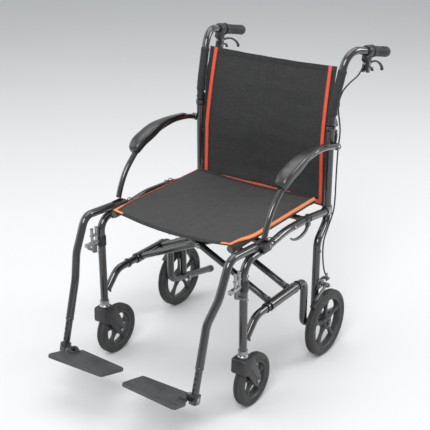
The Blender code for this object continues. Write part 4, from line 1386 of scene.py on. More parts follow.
def build_arms():
    """Bent armrest tubes, each with a foam pad wrapped over its top."""
    for name, side in SIDES:
        path = [at(side * ARM_X, s, z) for s, z in smooth_pairs(ARM_PATH, 8)]
        bm = bmesh.new()
        sweep(bm, path, ARM_TUBE_R, 24)
        pivot = joint_place(f"{name}_arm_flip")
        turned(
            bm,
            [(0, -0.0088), (0.0098, -0.0088), (0.0104, -0.0080), (0.0104, 0.0080)]
            + [(0.0098, 0.0088), (0, 0.0088)],
            pivot,
            (side, 0, 0),
            28,
        )
        bolt(bm, pivot + Vector((side * 0.0085, 0, 0)), (side, 0, 0), 0.0060, 0.0046, 1)
        foot = path[-1]
        plug = [foot + Vector((0, 0.0002, 0.0010)), foot + Vector((0, -0.0006, -0.0020))]
        rod(bm, *plug, 0.0074, 20, 2)
        piece(
            f"{name}_arm_tube_finished", bm, finishes("paint", "bright", "black"),
            f"{name}_arm", [f"{name}_arm_tube"],
        )
        run = [p for p in path if 0.162 <= p.y - FRONT_Y <= 0.405]
        bm = bmesh.new()
        rings = []
        total = len(run) - 1
        for i, point in enumerate(run):
            ahead = (run[min(i + 1, total)] - run[max(i - 1, 0)]).normalized()
            u = Vector((1, 0, 0))
            v = u.cross(ahead).normalized()
            if v.z < 0:
                v = -v
            rings.append(pad_ring(point, u, v, i / total))
        loft(bm, rings)
        pad = piece(
            f"{name}_arm_pad_finished", bm, finishes("pad"), f"{name}_arm",
            [f"{name}_arm_pad"], crease=60,
        )
        soften(pad, 0.0001, 45)
        bm = bmesh.new()
        for low, high in ((0.225, 0.2372), (0.2528, 0.257)):
            xs = sorted((side * low, side * high))
            block(bm, at(xs[0], 0.066, 0.4400), at(xs[1], 0.105, 0.4665), 0.0022)
        xs = sorted((side * 0.2365, side * 0.2535))
        block(bm, at(xs[0], 0.066, 0.4520), at(xs[1], 0.105, 0.4610), 0.0016)
        block(bm, at(xs[0], 0.098, 0.4600), at(xs[1], 0.105, 0.4665), 0.0010)
        bolt(bm, at(side * 0.2568, 0.097, 0.4535), (side, 0, 0), 0.0036, 0.0026, 1)
        piece(
            f"{name}_arm_socket_finished", bm, finishes("black", "bright"),
            f"{name}_frame", [f"{name}_arm_socket"],
        )


def smooth_pairs(pairs, steps):
    return [(p.x, p.y) for p in smooth_path([(a, b, 0) for a, b in pairs], steps)]


def soften(obj, amount, scale):
    """Small dents and swellings pressed into a padded mesh."""
    mesh = obj.data
    for vert in mesh.vertices:
        lift = noise.noise(vert.co * scale) * amount
        vert.co += vert.normal * lift
    mesh.update()


# ---- footrests ------------------------------------------------------------------
def foot_axis(up):
    x, station, z = FOOT_AXIS
    return (x, station + up * math.sin(FOOT_TILT), z + up * math.cos(FOOT_TILT))


def build_hangers():
    """Swing-away hangers: curved tube, end bush, clamp link and latch."""
    for name, side in SIDES:
        stops = [
            ((0.239, 0.049, 0.4635), 0),
            ((0.239, -0.062, 0.4710), 0.036),
            ((0.237, -0.106, 0.378), 0.10),
            (foot_axis(0.205), 0.10),
            (foot_axis(0.092), 0),
        ]
        path = placed(bent_path(stops, 14), side)
        bm = bmesh.new()
        sweep(bm, path, TUBE_R, 28)
        rear = path[0]
        turned(
            bm,
            [(0, 0.0010), (0.0080, 0.0008), (0.0108, -0.0010), (0.0113, -0.0022)]
            + [(0.0113, -0.0120), (0, -0.0120)],
            rear,
            (0, 1, 0),
            28,
            mat=1,
        )
        low = at(side * FOOT_AXIS[0], *foot_axis(0.092)[1:])
        tilt = Vector((0, math.sin(FOOT_TILT), math.cos(FOOT_TILT)))
        turned(
            bm,
            [(0.0094, -0.0020), (0.0110, -0.0020), (0.0115, -0.0012), (0.0115, 0.0020)]
            + [(0.0110, 0.0028), (0.0100, 0.0028), (0.0094, 0.0)],
            low,
            tilt,
            32,
            mat=0,
            closed=True,
        )
        piece(
            f"{name}_hanger_finished", bm,
            finishes("paint", "black"),
            f"{name}_hanger", [f"{name}_hanger_tube"],
        )
        bm = bmesh.new()
        x = side * FRAME_HALF
        block(bm, at(x - 0.006, -0.064, 0.3745), at(x + 0.006, -0.0140, 0.3838), 0.0018)
        for station in (-0.020, -0.038):
            pin = at(x, station, 0)
            turned(
                bm,
                [(0, 0.3795), (0.0042, 0.3795), (0.0042, 0.4200), (0.0052, 0.4202)]
                + [(0.0052, 0.4232), (0.0036, 0.4242), (0, 0.4242)],
                pin,
                (0, 0, 1),
                24,
            )
        block(bm, at(x - 0.0052, -0.043, 0.3990), at(x + 0.0052, -0.0150, 0.4040), 0.0012)
        weld_bead(bm, at(x, -0.060, 0.379), (0, 1, 0), 0.0062, 0.0012)
        piece(
            f"{name}_hanger_bracket_finished", bm, finishes("bright"),
            f"{name}_hanger", [f"{name}_hanger_bracket"],
        )
        bm = bmesh.new()
        hub = at(x, -0.030, 0)
        turned(
            bm,
            [(0, 0.3505), (0.0066, 0.3505), (0.0075, 0.3518), (0.0075, 0.3725)]
            + [(0.0066, 0.3733), (0, 0.3733)],
            hub,
            (0, 0, 1),
            28,
        )
        bar = rounded_outline(
            [
                ((-0.0045, -0.0050), 0.003),
                ((0.0170, -0.0042), 0.003),
                ((0.0240, -0.0058), 0.003),
                ((0.0245, 0.0058), 0.003),
                ((0.0170, 0.0042), 0.003),
                ((-0.0045, 0.0050), 0.003),
            ],
            3,
        )
        place = Matrix.Translation(hub + Vector((0, 0, 0.355))) @ Matrix.Diagonal(
            (side, 1, 1, 1)
        )
        slab(bm, bar, 0.0058, place, 0.0012)
        piece(
            f"{name}_swing_latch_finished", bm, finishes("steel"),
            f"{name}_swing_latch", [f"{name}_swing_latch"],
        )


def foot_place(side):
    spot = at(side * FOOT_AXIS[0], FOOT_AXIS[1], FOOT_AXIS[2])
    return (
        Matrix.Translation(spot)
        @ Matrix.Rotation(-FOOT_TILT, 4, "X")
        @ Matrix.Diagonal((-side, 1, 1, 1))
    )


def build_footrests():
    """Sliding foot tubes with lugs and adjusting holes drawn as painted-shade discs, and
    ribbed footplates.
    """
    for name, side in SIDES:
        place = foot_place(side)
        bm = bmesh.new()
        turned(
            bm,
            [(0, -0.0045), (0.0070, -0.0045), (0.0096, -0.0030), (0.0096, 0.0905)]
            + [(0.0085, 0.0915), (0.0085, 0.175), (0.0070, 0.1765), (0, 0.1765)],
            place.translation,
            place.to_3x3() @ Vector((0, 0, 1)),
            28,
            mat=0,
        )
        block(bm, (0.002, -0.0095, 0.0020), (0.0265, 0.0095, 0.0180), 0.003, place, 2)
        block(bm, (-0.0122, -0.0122, -0.0035), (0.0100, 0.0122, 0.0250), 0.0040, place, 2)
        bolt(
            bm,
            place @ Vector((-0.0116, 0, 0.0115)),
            place.to_3x3() @ Vector((-1, 0, 0)),
            0.0042,
            0.0036,
            1,
        )
        # each adjusting hole is a shallow near-black disc on the tube: painted shade in
        # place of a hole
        for i in range(4):
            out = place.to_3x3() @ Vector((0, -1, 0))
            spot = place @ Vector((0, -0.0095, 0.036 + 0.0145 * i))
            hole = [(0, 0.0003), (0.0030, 0.0003), (0.0030, -0.001), (0, -0.001)]
            turned(bm, hole, spot, out, 18, 3)
        piece(
            f"{name}_foot_tube_finished", bm,
            finishes("paint", "bright", "black", "recess"),
            f"{name}_foot", [f"{name}_foot_tube"],
        )
        bm = bmesh.new()
        outline = rounded_outline(
            [
                ((0.187, -0.064), 0.010),
                ((0.004, -0.078), 0.010),
                ((0.004, -0.026), 0.006),
                ((0.029, -0.022), 0.003),
                ((0.029, 0.038), 0.006),
                ((0.189, 0.030), 0.010),
            ]
        )
        slab(bm, outline, 0.0090, place, 0.0018)
        # raised rim, ribs along the tread, and the step behind the front lip
        rim = inset_ring(outline, 0.0030)
        path = [place @ Vector((x, y, 0.0044)) for x, y in rim + rim[:1]]
        sweep(bm, path, 0.0012, 8, 1)
        for i in range(9):
            y = -0.0485 + 0.0088 * i
            start = 0.0350 if y > -0.026 else 0.0140
            block(
                bm,
                (start, y - 0.0015, 0.0040),
                (0.1800, y + 0.0015, 0.0054),
                0.0006,
                place,
                0,
            )
        block(bm, (0.0100, -0.0600, 0.0040), (0.1790, -0.0572, 0.0056), 0.0007, place, 1)
        for way in (-1, 1):
            ear = rounded_outline(
                [((0.0135, 0.0), 0), ((0.0370, 0.0), 0), ((0.0370, 0.0100), 0.005)]
                + [((0.0270, 0.0170), 0.006), ((0.0135, 0.0170), 0.006)],
                5,
            )
            stand = place @ Matrix(
                ((1, 0, 0, 0), (0, 0, 1, way * 0.0140), (0, 1, 0, 0.0), (0, 0, 0, 1))
            )
            slab(bm, ear, 0.0068, stand, 0.0012, 0)
        rod(
            bm,
            place @ Vector((0.0205, -0.0185, 0.0100)),
            place @ Vector((0.0205, 0.0185, 0.0100)),
            0.003,
            18,
            2,
            0.001,
        )
        block(bm, (0.034, -0.020, -0.0085), (0.176, -0.0165, -0.0040), 0.001, place, 0)
        block(bm, (0.034, 0.0130, -0.0085), (0.176, 0.0165, -0.0040), 0.001, place, 0)
        # the plate body wears the painted-highlight plastic; its raised rim and front step
        # keep the plain wheel plastic
        piece(
            f"{name}_footplate_finished", bm, finishes("plate", "grey", "bright"),
            f"{name}_footplate", [f"{name}_footplate"],
        )


# ---- push handles and brakes ----------------------------------------------------
def handle_point(back, side=1, below=0.0):
    """A point so far forward of the grip's end and so far under its centreline."""
    return at(
        side * GRIP_X,
        GRIP_END - back * math.cos(HANDLE_DROP) - below * math.sin(HANDLE_DROP),
        0.8398 + back * math.sin(HANDLE_DROP) - below * math.cos(HANDLE_DROP),
    )


def handle_frame(back, side):
    return Matrix.Translation(handle_point(back, side)) @ Matrix.Rotation(
        -HANDLE_DROP, 4, "X"
    )


def back_tube_path(side, steps=14):
    grip = [handle_point(d) - Vector((0, FRONT_Y, 0)) for d in (0.139, 0.004)]
    stops = [
        ((CANE_HALF, BACK_STATION, 0.681), 0),
        ((0.226, 0.459, 0.735), 0.2),
        (HANDLE_TOP, 0.055),
        (tuple(grip[0]), 0.10),
        (tuple(grip[1]), 0),
    ]
    return placed(bent_path(stops, steps), side)


def bar_along(bm, points, half_x, thick, mat=0, taper=None):
    """A flat bar bent in a side view, with rounded edges; the taper scales its width."""
    count = len(points)
    rings = []
    for i, point in enumerate(points):
        ahead = (points[min(i + 1, count - 1)] - points[max(i - 1, 0)]).normalized()
        v = Vector((1, 0, 0)).cross(ahead).normalized()
        size = taper(i / (count - 1)) if taper else 1.0
        ring = []
        for k in range(16):
            a = math.tau * k / 16
            c, s = math.cos(a), math.sin(a)
            ring.append(
                point
                + Vector((math.copysign(abs(c) ** 0.5, c) * half_x * size, 0, 0))
                + v * (math.copysign(abs(s) ** 0.6, s) * thick / 2 * size)
            )
        rings.append(ring)
    loft(bm, rings, mat)


def build_handles():
    """Folding back tubes with grips, brake levers, parking catches and housings."""
    for name, side in SIDES:
        bm = bmesh.new()
        sweep(bm, back_tube_path(side), TUBE_R, 28)
        x = side * CANE_HALF
        for way in (-1, 1):
            xs = sorted((x + way * 0.0055, x + way * 0.0108))
            ear = rounded_outline(
                [((0.4540, 0.7020), 0.002), ((0.4540, 0.6800), 0.002)]
                + [((0.4700, 0.6735), 0.0055), ((0.4700, 0.6880), 0.006)]
                + [((0.4600, 0.7020), 0.003)],
                5,
            )
            slab(bm, ear, xs[1] - xs[0], upright((xs[0] + xs[1]) / 2), 0.001, 1)
            spot = Vector((x + way * 0.0106, BACK_HINGE.y, BACK_HINGE.z))
            bolt(bm, spot, (way, 0, 0), 0.0036, 0.0024, 1)
        weld_bead(bm, at(x, 0.4527, 0.6900), (0, 0.1, 1), 0.0113, 0.0012, 2)
        low, high = at(x - 0.0060, 0.4655, 0.7030), at(x + 0.0060, 0.4790, 0.7240)
        block(bm, low, high, 0.002, mat=3)
        loop = [(0.4740, 0.7180), (0.4830, 0.7230), (0.4880, 0.7330), (0.4830, 0.7430)]
        loop += [(0.4730, 0.7460)]
        bar_along(
            bm,
            [at(x, p.x, p.y) for p in smooth_path([(a, b, 0) for a, b in loop], 5)],
            0.0050,
            0.0044,
            3,
        )
        piece(
            f"{name}_back_tube_finished", bm, finishes("paint", "steel", "weld", "grey"),
            f"{name}_back", [f"{name}_back_tube"],
        )
        build_grip(name, side)
        build_housing(name, side)
        bm = bmesh.new()
        bends = [(-0.0055, 0.001), (0.006, 0.0), (0.022, -0.003), (0.042, -0.006)]
        bends += [(0.064, -0.005), (0.084, 0.001), (0.099, 0.010), (0.104, 0.018)]
        points = [
            handle_point(0.115 - p.x, side, 0.034 + p.y)
            for p in smooth_path([(a, b, 0) for a, b in bends], 5)
        ]
        bar_along(
            bm,
            points,
            0.0040,
            0.0070,
            0,
            lambda t: 1 - 0.22 * math.sin(math.pi * t) + 0.12 * t**4,
        )
        pivot = handle_point(0.115, side, 0.034)
        half = Vector((0.0040, 0, 0))
        rod(bm, pivot - half, pivot + half, 0.0058, 24, 0, 0.0008)
        piece(
            f"{name}_brake_lever_finished", bm, finishes("black"),
            f"{name}_brake_lever", [f"{name}_brake_lever"],
        )
        bm = bmesh.new()
        bends = [(-0.005, 0.002), (0.008, 0.0), (0.020, -0.004)]
        bends += [(0.032, -0.003), (0.040, 0.004)]
        points = [
            handle_point(0.115 - p.x, side, 0.050 + p.y)
            for p in smooth_path([(a, b, 0) for a, b in bends], 5)
        ]
        bar_along(bm, points, 0.0038, 0.0050, 0, lambda t: 0.9 + 0.25 * t)
        piece(
            f"{name}_parking_catch_finished", bm, finishes("black"),
            f"{name}_parking_catch", [f"{name}_parking_catch"],
        )
        bm = bmesh.new()
        y, z = 0.4735, 0.653
        outline = rounded_outline(
            [((y - 0.0062, z + 0.010), 0.002), ((y + 0.003, z + 0.010), 0.003)]
            + [((y + 0.007, z - 0.010), 0.006), ((y + 0.002, z - 0.030), 0.0025)]
            + [((y - 0.004, z - 0.029), 0.0015), ((y - 0.0015, z - 0.010), 0.006)],
            4,
        )
        slab(bm, outline, 0.0158, upright(x), 0.0014)
        pin = [at(x + reach, y - 0.001, z + 0.004) for reach in (-0.0095, 0.0095)]
        rod(bm, *pin, 0.0026, 18, 1, 0.0006)
        piece(
            f"{name}_back_latch_finished", bm, finishes("grey", "bright"),
            f"{name}_back_latch", [f"{name}_back_latch"],
        )


def build_grip(name, side):
    """Rubber grip with finger waves underneath, fine rings and a flange."""
    place = handle_point(0.0, side)
    axis = (handle_point(0.1, side) - place).normalized()
    bm = bmesh.new()
    profile = [(0, 0), (0.0100, 0), (0.0138, 0.0012), (0.0152, 0.0040), (0.0155, 0.0080)]
    steps = 40
    for i in range(steps + 1):
        h = 0.012 + (GRIP_LENGTH - 0.026) * i / steps
        ring = 0.0004 * (1 if i % 2 else -1) if 3 < i < steps - 3 else 0
        profile.append((0.0148 + ring + 0.0004 * math.cos(i / steps * math.tau), h))
    profile += [(0.0150, GRIP_LENGTH - 0.010), (0.0156, GRIP_LENGTH - 0.0055)]
    profile += [(0.0182, GRIP_LENGTH - 0.0040), (0.0185, GRIP_LENGTH - 0.0025)]
    profile += [(0.0182, GRIP_LENGTH - 0.0006), (0.0172, GRIP_LENGTH)]
    profile += [(0.0112, GRIP_LENGTH)]
    turned(bm, profile, place, axis, 48)
    under = Vector((1, 0, 0)).cross(axis)
    under = under if under.z < 0 else -under
    for vert in bm.verts:
        offset = vert.co - place
        h = offset.dot(axis)
        low = offset.dot(under)
        if low > 0.004 and 0.014 < h < GRIP_LENGTH - 0.012:
            wave = 1 + math.cos(h / 0.0215 * math.tau)
            vert.co -= under * 0.0009 * wave * min(1, (low - 0.004) / 0.008)
    piece(
        f"{name}_grip_finished", bm, finishes("grip"), f"{name}_back",
        [f"{name}_grip"], crease=50,
    )


def build_housing(name, side):
    """Brake lever housing: a clamp round the tube and two cheeks hanging under it."""
    spot = handle_frame(0.116, side)
    bm = bmesh.new()
    turned(
        bm,
        [(0.0113, -0.0200), (0.0140, -0.0200), (0.0158, -0.0180), (0.0168, -0.0120)]
        + [(0.0168, 0.0060), (0.0158, 0.0080), (0.0113, 0.0080)],
        spot.translation,
        spot.to_3x3() @ Vector((0, 1, 0)),
        36,
        closed=True,
    )
    for way in (-1, 1):
        xs = sorted((way * 0.0045, way * 0.0095))
        block(bm, (xs[0], -0.0100, -0.0600), (xs[1], 0.0080, -0.0080), 0.0018, spot)
        for z in (-0.034, -0.050):
            bolt(
                bm,
                spot @ Vector((way * 0.0094, -0.001, z)),
                spot.to_3x3() @ Vector((way, 0, 0)),
                0.0030,
                0.0014,
                1,
            )
    block(bm, (-0.0080, -0.0125, -0.0550), (0.0080, -0.0085, -0.0100), 0.0012, spot)
    block(bm, (-0.0112, -0.0190, -0.0300), (0.0112, 0.0060, -0.0090), 0.0040, spot)
    barrel = [spot @ Vector((0, reach, -0.036)) for reach in (-0.012, -0.0185)]
    rod(bm, *barrel, 0.0036, 20, 1, 0.0008)
    out = spot.to_3x3() @ Vector((side, 0, 0))
    bolt(bm, spot @ Vector((side * 0.0150, 0, 0.001)), out, 0.0030, 0.0016, 1)
    piece(
        f"{name}_brake_housing_finished", bm, finishes("black", "bright"),
        f"{name}_back", [f"{name}_brake_housing"],
    )


def build_wheel_brakes():
    """Tyre brakes: a bracket on the rear leg, and an arm with a shoe."""
    for name, side in SIDES:
        bm = bmesh.new()
        xs = sorted((side * 0.2513, side * 0.2541))
        plate = rounded_outline(
            [((0.367, 0.2115), 0.005), ((0.402, 0.2115), 0.005)]
            + [((0.402, 0.2435), 0.002), ((0.367, 0.2435), 0.006)],
            4,
        )
        slab(bm, plate, xs[1] - xs[0], upright(side * 0.2528), 0.0006)
        pin = [at(side * reach, 0.388, 0.2235) for reach in (0.2513, 0.2805)]
        rod(bm, *pin, 0.003, 18, 1)
        nut(bm, at(side * 0.2768, 0.388, 0.2235), (side, 0, 0), 0.0052, 0.0030, 1)
        xs = sorted((side * 0.2535, side * 0.2725))
        block(bm, at(xs[0], 0.392, 0.2376), at(xs[1], 0.402, 0.2434), 0.0010)
        barrel = [at(side * 0.2645, 0.397, z) for z in (0.2320, 0.2560)]
        rod(bm, *barrel, 0.0032, 18, 1, 0.0006)
        nut(bm, at(side * 0.2645, 0.397, 0.2434), (0, 0, 1), 0.0050, 0.0030, 1)
        for station in (0.373, 0.380):
            bolt(bm, at(side * 0.2540, station, 0.2185), (side, 0, 0), 0.0026, 0.0018, 1)
        piece(
            f"{name}_brake_bracket_finished", bm, finishes("steel", "bright"),
            f"{name}_frame", [f"{name}_brake_bracket"],
        )
        bm = bmesh.new()
        wheel = joint_place(f"{name}_rear_wheel_roll")
        x = side * 0.2685
        rings = []
        for i in range(15):
            a = math.radians(109 + 25 * i / 14)
            out = Vector((0, math.cos(a), math.sin(a)))
            ring = []
            for k in range(16):
                q = math.tau * k / 16
                c, s = math.cos(q), math.sin(q)
                ring.append(
                    Vector((x, wheel.y, wheel.z))
                    + out * (0.1092 + math.copysign(abs(s) ** 0.5, s) * 0.0046)
                    + Vector((math.copysign(abs(c) ** 0.5, c) * 0.0098, 0, 0))
                )
            rings.append(ring)
        loft(bm, rings)
        pin = at(x, 0.388, 0.2235)
        half = Vector((0.0075, 0, 0))
        rod(bm, pin - half, pin + half, 0.0070, 24, 1, 0.0008)
        a = math.radians(121)
        shoe = Vector((x, wheel.y + 0.1135 * math.cos(a), wheel.z + 0.1135 * math.sin(a)))
        rod(bm, pin, shoe, 0.0045, 20, 1)
        out = (0, math.cos(a), math.sin(a))
        bolt(bm, shoe + Vector((0, -0.0035, 0.0015)), out, 0.0036, 0.0022, 1)
        piece(
            f"{name}_brake_arm_finished", bm, finishes("black", "steel"),
            f"{name}_brake_arm", [f"{name}_brake_arm"],
        )


CABLE_PATH = [
    (0.247, 0.556, 0.804), (0.239, 0.524, 0.788), (0.231, 0.500, 0.768),
    (0.227, 0.488, 0.740), (0.227, 0.487, 0.715), (0.230, 0.488, 0.692),
    (0.235, 0.486, 0.668), (0.238, 0.482, 0.645), (0.238, 0.476, 0.610),
    (0.238, 0.473, 0.540), (0.238, 0.473, 0.460), (0.240, 0.462, 0.420),
    (0.245, 0.425, 0.384), (0.248, 0.398, 0.350), (0.250, 0.395, 0.300),
    (0.256, 0.396, 0.262), (0.2645, 0.397, 0.2455),
]


def build_cables():
    """Sheathed brake cables from each lever housing down to the wheel brake."""
    for name, side in SIDES:
        start = handle_point(0.131, side, 0.036)
        path = smooth_path([start] + placed(CABLE_PATH, side), 6)
        bm = bmesh.new()
        sweep(bm, path, CABLE_R, 14)
        cable = piece(
            f"{name}_brake_cable_finished", bm, finishes("sheath"), None,
            [f"{name}_brake_cable"],
        )
        length = sum((b - a).length for a, b in zip(path, path[1:]))
        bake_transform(cable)


# ---- upholstery -----------------------------------------------------------------
def cloth_piece(name, grid, uvs, thickness, material, body, stands_for=()):
    """A thin closed cloth between a top and a bottom copy of a grid of points."""
    rows, columns = len(grid), len(grid[0])
    bm = bmesh.new()
    layer = bm.loops.layers.uv.new("UVMap")
    spots = {}
    sides = []
    for sign in (0.5, -0.5):
        sheet = []
        for r in range(rows):
            line = []
            for c in range(columns):
                du = grid[r][min(c + 1, columns - 1)] - grid[r][max(c - 1, 0)]
                dv = grid[min(r + 1, rows - 1)][c] - grid[max(r - 1, 0)][c]
                normal = du.cross(dv).normalized()
                vert = bm.verts.new(grid[r][c] + normal * thickness * sign)
                spots[vert] = uvs[r][c]
                line.append(vert)
            sheet.append(line)
        sides.append(sheet)
    top, bottom = sides
    for r in range(rows - 1):
        for c in range(columns - 1):
            bm.faces.new((top[r][c], top[r][c + 1], top[r + 1][c + 1], top[r + 1][c]))
            bm.faces.new(
                (bottom[r][c], bottom[r + 1][c], bottom[r + 1][c + 1], bottom[r][c + 1])
            )
    edge = [(0, c) for c in range(columns)] + [(r, columns - 1) for r in range(1, rows)]
    edge += [(rows - 1, c) for c in range(columns - 2, -1, -1)]
    edge += [(r, 0) for r in range(rows - 2, 0, -1)]
    for (r, c), (s, d) in zip(edge, edge[1:] + edge[:1]):
        bm.faces.new((top[r][c], bottom[r][c], bottom[s][d], top[s][d]))
    for face in bm.faces:
        for loop in face.loops:
            loop[layer].uv = spots[loop.vert]
    return piece(name, bm, [material], body, stands_for, crease=60)


def surface_grid(surface, us, vs, lift=0.0, wander=0.0):
    """Points and flat coordinates of a cloth surface over a grid."""
    grid, flat = [], []
    for v in vs:
        line, spots = [], []
        for u in us:
            line.append(surface(u, v, lift))
            spots.append((u, v))
        grid.append(line)
        flat.append(spots)
    return grid, flat


def steps_between(low, high, count):
    return [low + (high - low) * i / count for i in range(count + 1)]


def strip_on(name, surface, points, width, lift, material, body, thickness=0.0007):
    """A ribbon laid on a cloth surface along a line of (u, v) points."""
    grid, flat = [], []
    run = 0.0
    for i, (u, v) in enumerate(points):
        before, after = points[max(i - 1, 0)], points[min(i + 1, len(points) - 1)]
        way = Vector((after[0] - before[0], after[1] - before[1])).normalized()
        if i:
            run += math.hypot(u - points[i - 1][0], v - points[i - 1][1])
        line, spots = [], []
        for k in range(5):
            off = (k / 4 - 0.5) * width
            rise = lift + 0.0004 * (1 - (2 * k / 4 - 1) ** 2)
            line.append(surface(u - way.y * off, v + way.x * off, rise))
            spots.append((off, run))
        grid.append(line)
        flat.append(spots)
    return cloth_piece(name, grid, flat, thickness, material, body)


def stitches(name, surface, points, lift, body, material="thread", pitch=0.0062):
    """A row of separate stitches along a line of (u, v) points on a cloth surface."""
    bm = bmesh.new()
    total = [0.0]
    for a, b in zip(points, points[1:]):
        total.append(total[-1] + math.hypot(b[0] - a[0], b[1] - a[1]))

    def spot(distance):
        for i in range(len(points) - 1):
            if distance <= total[i + 1] or i == len(points) - 2:
                t = (distance - total[i]) / max(total[i + 1] - total[i], 1e-9)
                return [a + (b - a) * t for a, b in zip(points[i], points[i + 1])]

    count = int(total[-1] / pitch)
    for k in range(count):
        path = []
        for j in range(4):
            u, v = spot((k + 0.16 + 0.66 * j / 3) * pitch)
            path.append(surface(u, v, lift + (0.0004 if 0 < j < 3 else -0.0001)))
        sweep(bm, path, 0.00042, 6)
    return piece(name, bm, finishes(material), body)


def make_seat_surface(sag):
    """The sling's surface: u across, v the station; tight at the rails, slack between."""
    half = SEAT_RAIL_HALF
    round_rail = BRACE_R + 0.0013

    def surface(u, v, lift=0.0):
        if abs(u) > half:
            a = (abs(u) - half) / round_rail
            reach = round_rail + lift
            x = half + reach * math.sin(a)
            return at(math.copysign(x, u), v, SEAT_RAIL_Z + reach * math.cos(a))
        across = max(-1.0, min(1.0, u / half))
        hang = (1 - across * across) ** 1.15
        along = (v - SEAT_FRONT) / (SEAT_REAR - SEAT_FRONT)
        pull = 1.0 - 0.45 * eased(along)
        z = SEAT_RAIL_Z + 0.0108 - sag * hang * pull
        # folds that run across from the rails, and the crease where the seat folds
        ruffle = noise.noise(Vector((u * 6, v * 34, 3.1))) * 0.0011
        ruffle += noise.noise(Vector((u * 16, v * 20, 7.7))) * 0.0009
        z += ruffle * min(1.0, 2.2 * (1 - abs(across)))
        z -= 0.0016 * math.exp(-((u / 0.0035) ** 2))
        z += 0.0007 * math.exp(-((u / 0.012) ** 2))
        edge = math.exp(-(((v - SEAT_FRONT) / 0.012) ** 2))
        z -= 0.0020 * edge * (1 - abs(across))
        return at(u, v, z + lift)

    return surface


def build_seat(sag, ribbon_width):
    """The seat sling, wrapped round the two seat rails, with its hems and ribbon."""
    surface = make_seat_surface(sag)
    half = SEAT_RAIL_HALF + 0.030
    front, rear = SEAT_FRONT - 0.002, SEAT_REAR + 0.004
    us, vs = steps_between(-half, half, 132), steps_between(front, rear, 110)
    grid, flat = surface_grid(surface, us, vs)
    seat = cloth_piece(
        "seat_sling_finished", grid, flat, 0.0016, MATERIALS["cloth"], None,
        ["seat_sling"],
    )
    extras = []
    for label, v in (("front", front + 0.0065), ("rear", rear - 0.0065)):
        line = [(u, v) for u in steps_between(-half + 0.001, half - 0.001, 130)]
        extras.append(strip_on(
            f"seat_{label}_hem", surface, line, 0.0130, 0.0013, MATERIALS["binding"],
            None, 0.0012,
        ))
        for offset in (-0.0045, 0.0045):
            row = [(u, v + offset) for u, _ in line]
            extras.append(stitches(
                f"seat_{label}_stitches_{'a' if offset < 0 else 'b'}",
                surface,
                row,
                0.0023,
                None,
            ))
    for name, side in SIDES:
        run = steps_between(front + 0.0050, rear - 0.001, 100)
        line = [
            (side * (SEAT_RAIL_HALF - 0.001 + 0.012 * eased((v - front) / 0.11)), v)
            for v in run
        ]
        corner = [
            (side * (SEAT_RAIL_HALF - 0.001 - 0.004 * k), front + 0.0050)
            for k in range(7, 0, -1)
        ]
        line = corner + line
        # the seat ribbon is drawn in its painted-highlight colour, lighter than the back
        # ribbons
        extras.append(strip_on(
            f"{name}_seat_ribbon", surface, line, 0.72 * ribbon_width, 0.0032,
            MATERIALS["seat_ribbon"], None,
        ))
        for offset in (-1, 1):
            row = [(u + offset * (0.36 * ribbon_width - 0.0010), v) for u, v in line[8:]]
            extras.append(stitches(
                f"{name}_seat_ribbon_stitches_{'a' if offset < 0 else 'b'}", surface, row,
                0.0040, None, "ribbon_thread", 0.0050,
            ))
    for obj in [seat] + extras:
        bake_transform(obj)


def build_sleeve(name, path, radius, body, material):
    """A cloth sleeve round a tube, slightly puckered, with a rolled hem at each end."""
    bm = bmesh.new()
    layer = bm.loops.layers.uv.new("UVMap")
    frames = path_frames(path)
    rows, spots, run = [], {}, 0.0
    count, sides = len(path), 28
    for i, (point, (u, v)) in enumerate(zip(path, frames)):
        if i:
            run += (point - path[i - 1]).length
        rim = 0.0007 if i in (1, 2, count - 2, count - 3) else 0.0
        size = -0.0010 if i in (0, count - 1) else 0.0
        row = []
        for k in range(sides):
            a = math.tau * k / sides
            out = u * math.cos(a) + v * math.sin(a)
            pucker = noise.noise((point + out * radius) * 46) * 0.0005
            vert = bm.verts.new(point + out * (radius + rim + size + pucker))
            spots[vert] = (radius * a, run)
            row.append(vert)
        rows.append(row)
    skin_rows(bm, rows)
    for face in bm.faces:
        for loop in face.loops:
            loop[layer].uv = spots[loop.vert]
    return piece(name, bm, finishes(material), body, crease=60)


def back_station(z):
    """Where the back cloth hangs at a height: upright low down, then leaning."""
    if z <= 0.60:
        return BACK_STATION
    return BACK_STATION + 0.0399 * ((z - 0.60) / 0.235) ** 1.4


def make_back_surface(bow):
    """The back panel's surface: u across, v the height."""

    def surface(u, v, lift=0.0):
        across = max(-1.0, min(1.0, u / 0.213))
        depth = bow * (1 - across * across)
        for crease in (-0.0065, 0.0065):
            depth += 0.0022 * math.exp(-(((u - crease) / 0.0024) ** 2))
        taper = min(1.0, 2.5 * (1 - abs(across)))
        dip = 0.007 * (1 - across * across) * eased((v - 0.70) / 0.136)
        depth += noise.noise(Vector((u * 22, v * 9, 1.3))) * 0.0026 * taper
        depth += noise.noise(Vector((u * 9, v * 30, 5.9))) * 0.0016 * taper
        return at(u, back_station(v) + depth - lift, v - dip)

    return surface


BACK_HALF = 0.2135  # half the width of the back panels
LOWER_BOTTOM = 0.434  # the two panels meet at the back hinge
LOWER_TOP = 0.6885
UPPER_BOTTOM = 0.6887
UPPER_TOP = 0.837
RIBBON_HALF = 0.194  # the ribbons stand this far out at their top
RIBBON_FLARE = 0.009  # and this much further out after RIBBON_DROP
RIBBON_TOP = 0.807
RIBBON_DROP = 0.367
RIBBON_END = 0.443


